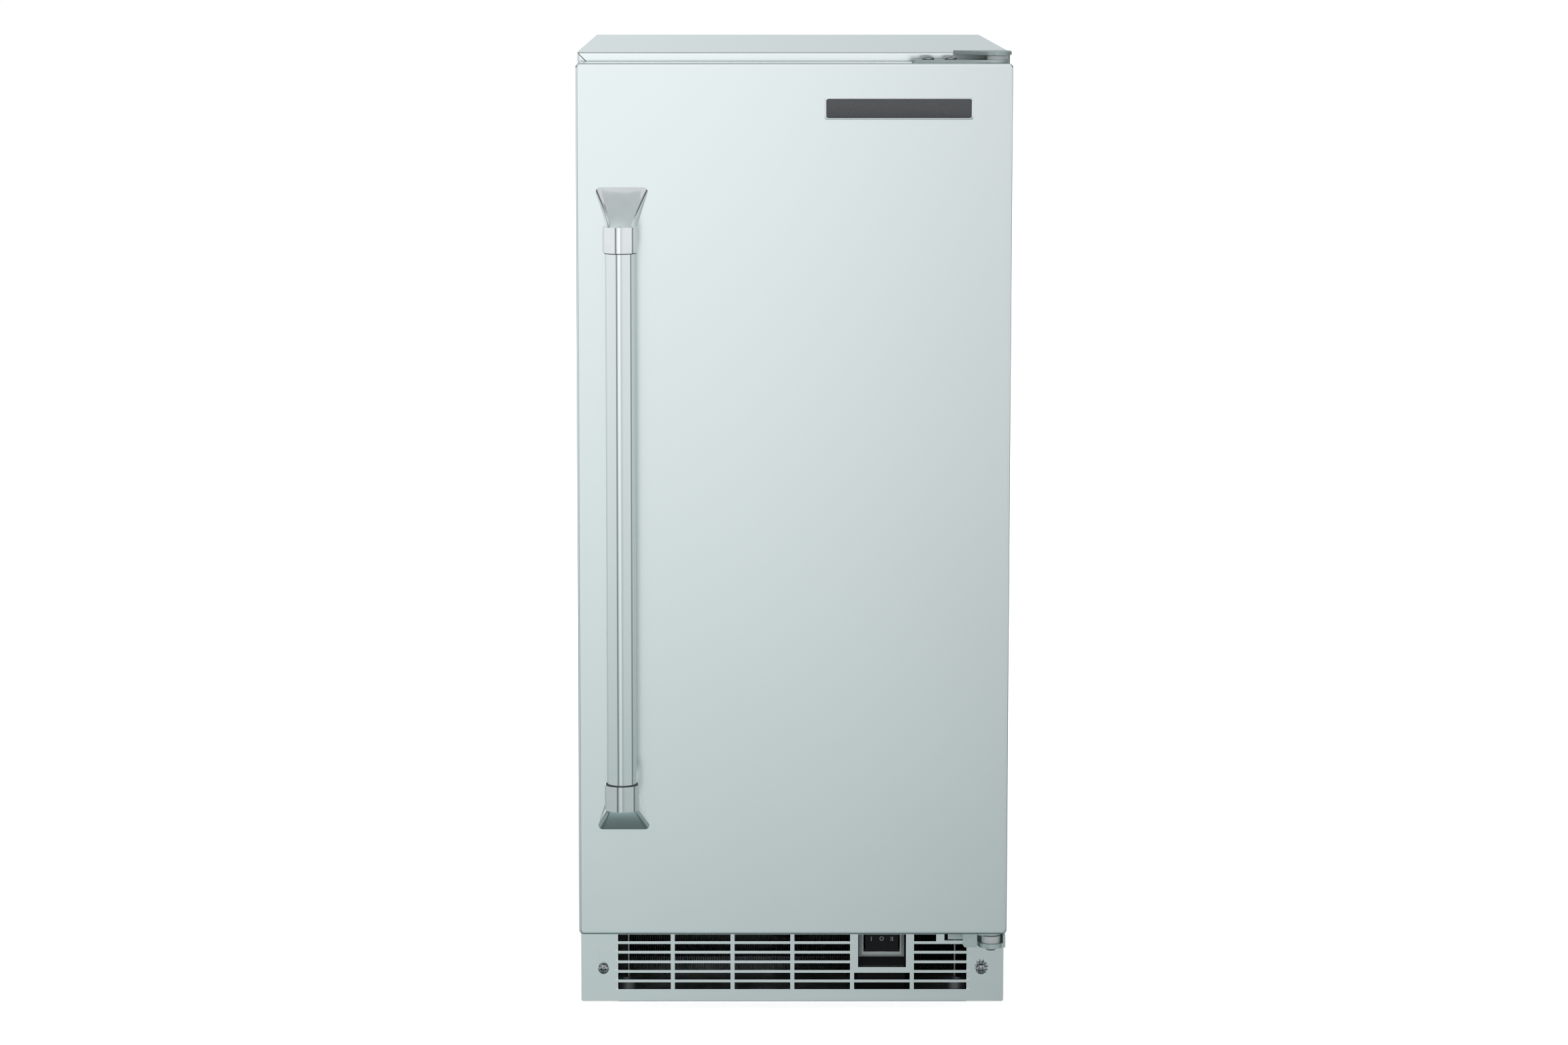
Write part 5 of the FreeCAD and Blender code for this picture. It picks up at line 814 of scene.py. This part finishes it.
class ICE_OT_corner_seams(bpy.types.Operator):
    """Dark sealant in the mitres of the cabinet's front flanges"""

    bl_idname = "ice.corner_seams"
    bl_label = "Corner Seams"

    def execute(self, context):
        low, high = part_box("top_panel")
        start, end = 2.2 * MM, 33.0 * MM
        half = trim().mitre_width / 2
        proud = 0.04 * MM
        mesh = bmesh.new()
        for side in (-1, 1):
            outline = []
            for inset, across in ((start, -half), (start, half), (end, half), (end, -half)):
                outline.append((side * (high.x - inset + across), high.z - inset - across))
            lofted(mesh, [[Vector((x, y, z)) for x, z in outline] for y in (low.y + proud, low.y - proud)])
        finish = soft_rubber("Joint sealant", trim().sealant_and_shade_colour, rough=0.5)
        piece("corner_seams", mesh, finish, "cabinet", 30.0)
        return {"FINISHED"}


class ICE_OT_screws(bpy.types.Operator):
    """Cross-head screws of the cabinet, grille and door plate, and the grille's lock washer"""

    bl_idname = "ice.screws"
    bl_label = "Screws"

    def execute(self, context):
        finish = polished_metal("Bright screw", tinted(finishes().screw, 0.9), rough=0.18)
        rear_head = 2.2 * MM
        rear_places = []
        hinge_head = 0.9 * MM
        hinge_places = []
        for index, (low, high) in enumerate(islands("cabinet_screws")):
            middle = (low + high) / 2
            if middle.y > 0:
                seat = Vector((middle.x, high.y - rear_head, middle.z))
                rear_places.append(facing(seat, BACKWARD, spin=0.7 * index))
            else:
                seat = Vector((middle.x, low.y + hinge_head, middle.z))
                hinge_places.append(facing(seat, FORWARD, spin=0.9 * index))
        rear = crosshead_screw(rim=4.5 * MM, height=rear_head, shank=2.05 * MM, length=1.8 * MM,
                               recess=2.6 * MM)
        screw_set("rear_screws", rear, rear_places, finish, "cabinet", "cabinet_screws")
        hinge = crosshead_screw(rim=4.2 * MM, height=hinge_head, shank=2.25 * MM, length=5.0 * MM,
                                recess=2.0 * MM)
        screw_set("hinge_screws", hinge, hinge_places, finish, "cabinet")
        grille_head = 3.0 * MM
        washer = 0.6 * MM
        washer_rise = 1.3 * MM
        places = []
        for low, high in islands("grille_screws"):
            middle = (low + high) / 2
            face = low.y + grille_head
            lift = washer if middle.x > 0 else 0.0
            seat = Vector((middle.x, face - lift, middle.z))
            places.append(facing(seat, FORWARD, spin=0.35 + middle.x * 3))
            if lift:
                self.lock_washer(Vector((middle.x, face, middle.z + washer_rise)), washer, finish)
        grille = crosshead_screw(rim=4.8 * MM, height=grille_head, shank=2.05 * MM, length=13.5 * MM,
                                 recess=2.9 * MM)
        screw_set("grille_screws_visual", grille, places, finish, "cabinet", "grille_screws")
        door_head = 3.0 * MM
        places = []
        for index, (low, high) in enumerate(islands("door_plate_screws")):
            middle = (low + high) / 2
            seat = Vector((middle.x, middle.y, high.z - door_head))
            places.append(facing(seat, UPWARD, spin=0.5 + index))
        dome = crosshead_screw(rim=5.4 * MM, height=door_head, shank=2.4 * MM, length=10.0 * MM,
                               recess=2.7 * MM)
        screw_set("door_plate_screws_visual", dome, places, finish, "door", "door_plate_screws")
        return {"FINISHED"}

    def lock_washer(self, centre, thick, finish):
        """External-tooth washer: a ring with twisted teeth."""
        tip, root, hole = 6.4 * MM, 4.9 * MM, 3.5 * MM
        twist_step = 0.16 * MM
        tooth = (1, 2, 3)
        steps = 6
        place = facing(centre, FORWARD)
        rings = []
        for level in (0.0, thick):
            outer = []
            inner = []
            for index, angle in enumerate(around(trim().washer_teeth * steps)):
                phase = index % steps
                radius = tip if phase in tooth else root
                twist = (phase - tooth[1]) * twist_step if phase in tooth else 0.0
                lift = max(0.0, level + twist) if level else 0.0
                across = Vector((math.cos(angle), math.sin(angle), 0.0))
                outer.append(place @ (across * radius + Vector((0.0, 0.0, lift))))
                inner.append(place @ (across * hole + Vector((0.0, 0.0, level))))
            rings.append((outer, inner))
        (low_outer, low_inner), (high_outer, high_inner) = rings
        mesh = bmesh.new()
        looped(mesh, [low_inner, low_outer, high_outer, high_inner])
        piece("lock_washer", mesh, finish, "cabinet", 25.0)


class ICE_OT_switch_marks(bpy.types.Operator):
    """Printed marks I, O and II on the rocker"""

    bl_idname = "ice.switch_marks"
    bl_label = "Switch Marks"

    def execute(self, context):
        size = trim()
        low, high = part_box("switch_rocker")
        middle = (low + high) / 2
        half = (high.x - low.x) / 2
        aside = half * 0.62
        apart = size.mark_stroke * 1.1
        dish = 1.5 * MM
        sunk = -0.05 * MM
        proud = 0.06 * MM
        mesh = bmesh.new()

        def on_face(x, z, level):
            across = abs(x - middle.x) / half
            return Vector((x, low.y + dish * (1 - across) - level, z))

        def bar(x):
            wide, tall = size.mark_stroke / 2, size.mark_height / 2
            outline = [(x + sx * wide, middle.z + sz * tall)
                       for sx, sz in ((-1, -1), (1, -1), (1, 1), (-1, 1))]
            lofted(mesh, [[on_face(a, b, level) for a, b in outline] for level in (sunk, proud)])

        bar(middle.x - aside)
        for side in (-1, 1):
            bar(middle.x + aside + side * apart)
        outer = size.mark_height / 2
        inner = outer - size.mark_stroke
        rings = []
        for radius, level in ((inner, sunk), (outer, sunk), (outer, proud), (inner, proud)):
            rings.append([on_face(middle.x + radius * math.cos(angle),
                                  middle.z + radius * math.sin(angle), level) for angle in around(28)])
        looped(mesh, rings)
        finish = moulded("Printed mark", finishes().marks, rough=0.5, pebble=900.0, depth=0.00002)
        piece("switch_marks", mesh, finish, "rocker")
        return {"FINISHED"}


class ICE_OT_gasket(bpy.types.Operator):
    """Bellows gasket round the back of the door"""

    bl_idname = "ice.gasket"
    bl_label = "Door Gasket"

    def execute(self, context):
        low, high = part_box("door_gasket")
        depth = high.y - low.y
        width = 16.0 * MM
        fold = 1.6 * MM
        nip = 0.6 * MM
        side = [(0.0, 0.0), (0.0, 0.16), (fold, 0.24), (fold, 0.34), (nip, 0.42), (nip, 0.52), (fold, 0.60),
                (fold * 0.6, 0.70), (0.0, 0.78), (0.0, 0.93), (nip, 1.0)]
        profile = side + [(width - inset, rise) for inset, rise in reversed(side)]
        corners = [(low.x, low.z, 1, 1), (high.x, low.z, -1, 1), (high.x, high.z, -1, -1),
                   (low.x, high.z, 1, -1)]
        mesh = bmesh.new()
        looped(mesh, [[Vector((x + sx * inset, low.y + depth * rise, z + sz * inset))
                       for inset, rise in profile] for x, z, sx, sz in corners])
        finish = soft_rubber("Gasket rubber", finishes().seal, rough=0.5)
        made = piece("door_gasket_bellows", mesh, finish, "door", 30.0)
        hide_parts("door_gasket")
        return {"FINISHED"}


class ICE_OT_fins(bpy.types.Operator):
    """Close-set condenser fins"""

    bl_idname = "ice.fins"
    bl_label = "Condenser Fins"

    def execute(self, context):
        size = trim()
        low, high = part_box("condenser_core")
        # Fins set near black, with paler dust patches.
        made, shade = material("Near-black fins")
        dust = shade.noise(60.0, detail=4.0, rough=0.65).step(0.45, 0.75)
        fine = shade.noise(700.0)
        shade.surface({
            "Base Color": shade.blend(dust * 0.4, finishes().fins[:], (0.030, 0.031, 0.030)),
            "Roughness": 0.62 + dust * 0.3,
            "Normal": shade.bump(fine, 0.00004, 0.4),
        })
        mesh = bmesh.new()
        count = int((high.x - low.x) / size.fin_pitch)
        pitch = (high.x - low.x - size.fin_sheet) / (count - 1)
        for index in range(count):
            x = low.x + index * pitch
            boxed(mesh, (x, low.y, low.z), (x + size.fin_sheet, high.y, high.z))
        fins = piece("condenser_fins", mesh, made, "cabinet")
        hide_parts("condenser_core")
        return {"FINISHED"}


class ICE_OT_stage(bpy.types.Operator):
    """Pale floor, studio lamps, white surroundings and the camera"""

    bl_idname = "ice.stage"
    bl_label = "Studio Stage"

    def execute(self, context):
        scene = context.scene
        stage = scene.ice_stage
        scene.view_settings.view_transform = "Standard"
        self.surroundings(scene, stage)
        self.floor(stage)
        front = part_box("door_skin")[0].y
        self.lamp("key_lamp", place=(-1.15, front - 3.6, 1.95), target=(0.0, front, 0.50), size=1.5,
                  power=stage.key)
        self.lamp("fill_lamp", place=(0.4, -0.6, 3.2), target=(0.0, 0.0, 0.6), size=2.2, power=stage.fill)
        data = bpy.data.cameras.new("camera")
        data.lens = stage.lens
        data.sensor_width = FULL_FRAME
        data.shift_x = stage.shift_x
        data.shift_y = stage.shift_y
        camera = bpy.data.objects.new("camera", data)
        camera.location = (stage.camera_x, front - stage.distance, stage.camera_z)
        camera.rotation_euler = (math.pi / 2 - stage.pitch, 0.0, 0.0)
        scene.collection.objects.link(camera)
        scene.camera = camera
        return {"FINISHED"}

    def lamp(self, name, place, target, size, power):
        """Soft lamp that lights matt surfaces and isn't mirrored in metal."""
        data = bpy.data.lights.new(name, "AREA")
        data.shape = "DISK"
        data.size = size
        data.energy = power
        made = bpy.data.objects.new(name, data)
        made.location = place
        made.visible_glossy = False
        aim = Vector(target) - Vector(place)
        made.rotation_euler = aim.to_track_quat("-Z", "Y").to_euler()
        bpy.context.scene.collection.objects.link(made)

    def seen(self, shade):
        """Two signals: 1 for rays from the camera, and 1 for reflected or refracted ones."""
        found = [shade.node("ShaderNodeLightPath", output=name)
                 for name in ("Is Camera Ray", "Is Glossy Ray", "Is Transmission Ray")]
        return found[0], found[1].at_least(found[2])

    def surroundings(self, scene, stage):
        """Even light for matt surfaces, white for the camera, and studio walls for what metal reflects."""
        world = bpy.data.worlds.new("studio")
        scene.world = world
        world.use_nodes = True
        shade = Shade(world.node_tree)
        camera, mirrored = self.seen(shade)
        heading = shade.node("ShaderNodeTexCoord", output="Generated")
        across, depth, up = (shade.axis(heading, name) for name in "XYZ")
        turn = across.math("ARCTAN2", across, 0.0 - depth) * math.degrees(1.0)
        glint = 1.0 - ((turn - GLINT) ** 2.0).step(*(angle ** 2 for angle in GLINT_FADE))
        panel = stage.panel + stage.glint * glint
        panel = panel + (stage.right_near - stage.panel) * turn.step(*PANEL_FADE)
        right = stage.right_near + (stage.right_far - stage.right_near) * turn.step(PANEL_RIGHT, RIGHT_END)
        walls = stage.left_wall + (panel - stage.left_wall) * turn.step(PANEL_LEFT - SEAM_EDGE, PANEL_LEFT)
        walls = walls + (right - walls) * turn.step(PANEL_RIGHT, PANEL_RIGHT + SEAM_EDGE)
        for seam, half in SEAM_HALF.items():
            clear = ((turn - seam) ** 2.0).step(half ** 2, (half + SEAM_EDGE) ** 2)
            walls = walls * (stage.seam + (1.0 - stage.seam) * clear)
        rear = (turn ** 2.0).step(*(angle ** 2 for angle in BACK_FADE))
        behind = stage.back_wall - BACK_DROP * across.step(*BACK_CHANGE)
        walls = walls + (behind - walls) * rear
        beside = (turn ** 2.0).step(*(angle ** 2 for angle in SIDE_FADE)) * up.step(*SIDE_FOOT)
        beside = beside * (1.0 - up.step(*SIDE_HEAD)) * (1.0 - rear)
        walls = walls * (1.0 - stage.side_shade * beside)
        walls = walls + (stage.ceiling - walls) * up.step(*CEILING_RISE)
        walls = walls * (1.0 - stage.zenith * up.step(*ZENITH_RISE) * depth.step(*ZENITH_DEPTH))
        rise = up.step(*WALL_RISE)
        below = stage.low + (stage.near_floor - stage.low) * (1.0 - up.step(*NEAR_FLOOR_RISE))
        walls = walls * (below + (1.0 - below) * rise)
        walls = walls * (stage.under + (1.0 - stage.under) * up.step(*UNDER_RISE))
        level = stage.ambient + (walls - stage.ambient) * mirrored
        level = level + (1.0 - level) * camera
        pale = rise * (1.0 - REAR_TINT * rear)
        tint = shade.blend(pale.at_least(1.0 - mirrored), LOW_TINT, WHITE)
        lit = shade.node("ShaderNodeBackground", inputs={"Color": tint, "Strength": level})
        shade.node("ShaderNodeOutputWorld", inputs={"Surface": lit})

    def floor(self, stage):
        """White floor that keeps a soft shadow. Metal reflects the studio walls in its place."""
        made, shade = material("Pale floor")
        camera, _ = self.seen(shade)
        place = shade.place()
        reach = shade.axis(place, "X") ** 2.0 + shade.axis(place, "Y") ** 2.0
        grey = [(stage.floor * share,) * 3 for share in (0.985, 1.015)]
        diffuse = shade.node("ShaderNodeBsdfDiffuse", inputs={
            "Color": shade.blend(shade.noise(900.0), grey[0], grey[1])})
        glow = camera * (stage.glow + (1.0 - stage.glow) * reach.step(*FLOOR_FADE))
        emission = shade.node("ShaderNodeEmission", inputs={"Color": opaque(WHITE), "Strength": glow})
        both = shade.node("ShaderNodeAddShader", inputs={0: diffuse, 1: emission})
        shade.node("ShaderNodeOutputMaterial", inputs={"Surface": both})
        mesh = bmesh.new()
        drop = 0.2 * MM
        lofted(mesh, [[Vector((radius * math.cos(angle), radius * math.sin(angle), -drop))
                       for angle in around(64)] for radius in (40.0, 6.0, 1.0)], close_first=False)
        data = bpy.data.meshes.new("floor")
        mesh.to_mesh(data)
        mesh.free()
        data.materials.append(made)
        floor = bpy.data.objects.new("floor", data)
        floor.visible_glossy = False
        bpy.context.scene.collection.objects.link(floor)


class ICE_PT_panel(bpy.types.Panel):
    """Sidebar panel with the operators and their settings"""

    bl_label = "Ice Maker"
    bl_idname = "ICE_PT_panel"
    bl_space_type = "VIEW_3D"
    bl_region_type = "UI"
    bl_category = "Ice Maker"

    def draw(self, context):
        for operator in OPERATORS:
            self.layout.operator(operator.bl_idname)
        for group in (context.scene.ice_finishes, context.scene.ice_trim, context.scene.ice_stage):
            box = self.layout.box()
            for name in group.__annotations__:
                box.prop(group, name)


OPERATORS = (ICE_OT_outer_finish, ICE_OT_works_finish, ICE_OT_badge, ICE_OT_handle_shade_rings,
             ICE_OT_corner_seams, ICE_OT_screws, ICE_OT_switch_marks, ICE_OT_gasket, ICE_OT_fins,
             ICE_OT_stage)
GROUPS = {"ice_finishes": IceFinishes, "ice_trim": IceTrim, "ice_stage": IceStage}


def register():
    for made in (*GROUPS.values(), *OPERATORS, ICE_PT_panel):
        bpy.utils.register_class(made)
    for name, group in GROUPS.items():
        setattr(bpy.types.Scene, name, bpy.props.PointerProperty(type=group))


def unregister():
    for name in GROUPS:
        delattr(bpy.types.Scene, name)
    for made in reversed((*GROUPS.values(), *OPERATORS, ICE_PT_panel)):
        bpy.utils.unregister_class(made)


def main():
    register()
    bpy.ops.ice.outer_finish()
    bpy.ops.ice.works_finish()
    bpy.ops.ice.badge()
    bpy.ops.ice.handle_seals()
    bpy.ops.ice.corner_seams()
    bpy.ops.ice.screws()
    bpy.ops.ice.switch_marks()
    bpy.ops.ice.gasket()
    bpy.ops.ice.fins()
    bpy.ops.ice.stage()


if __name__ == "__main__":
    main()
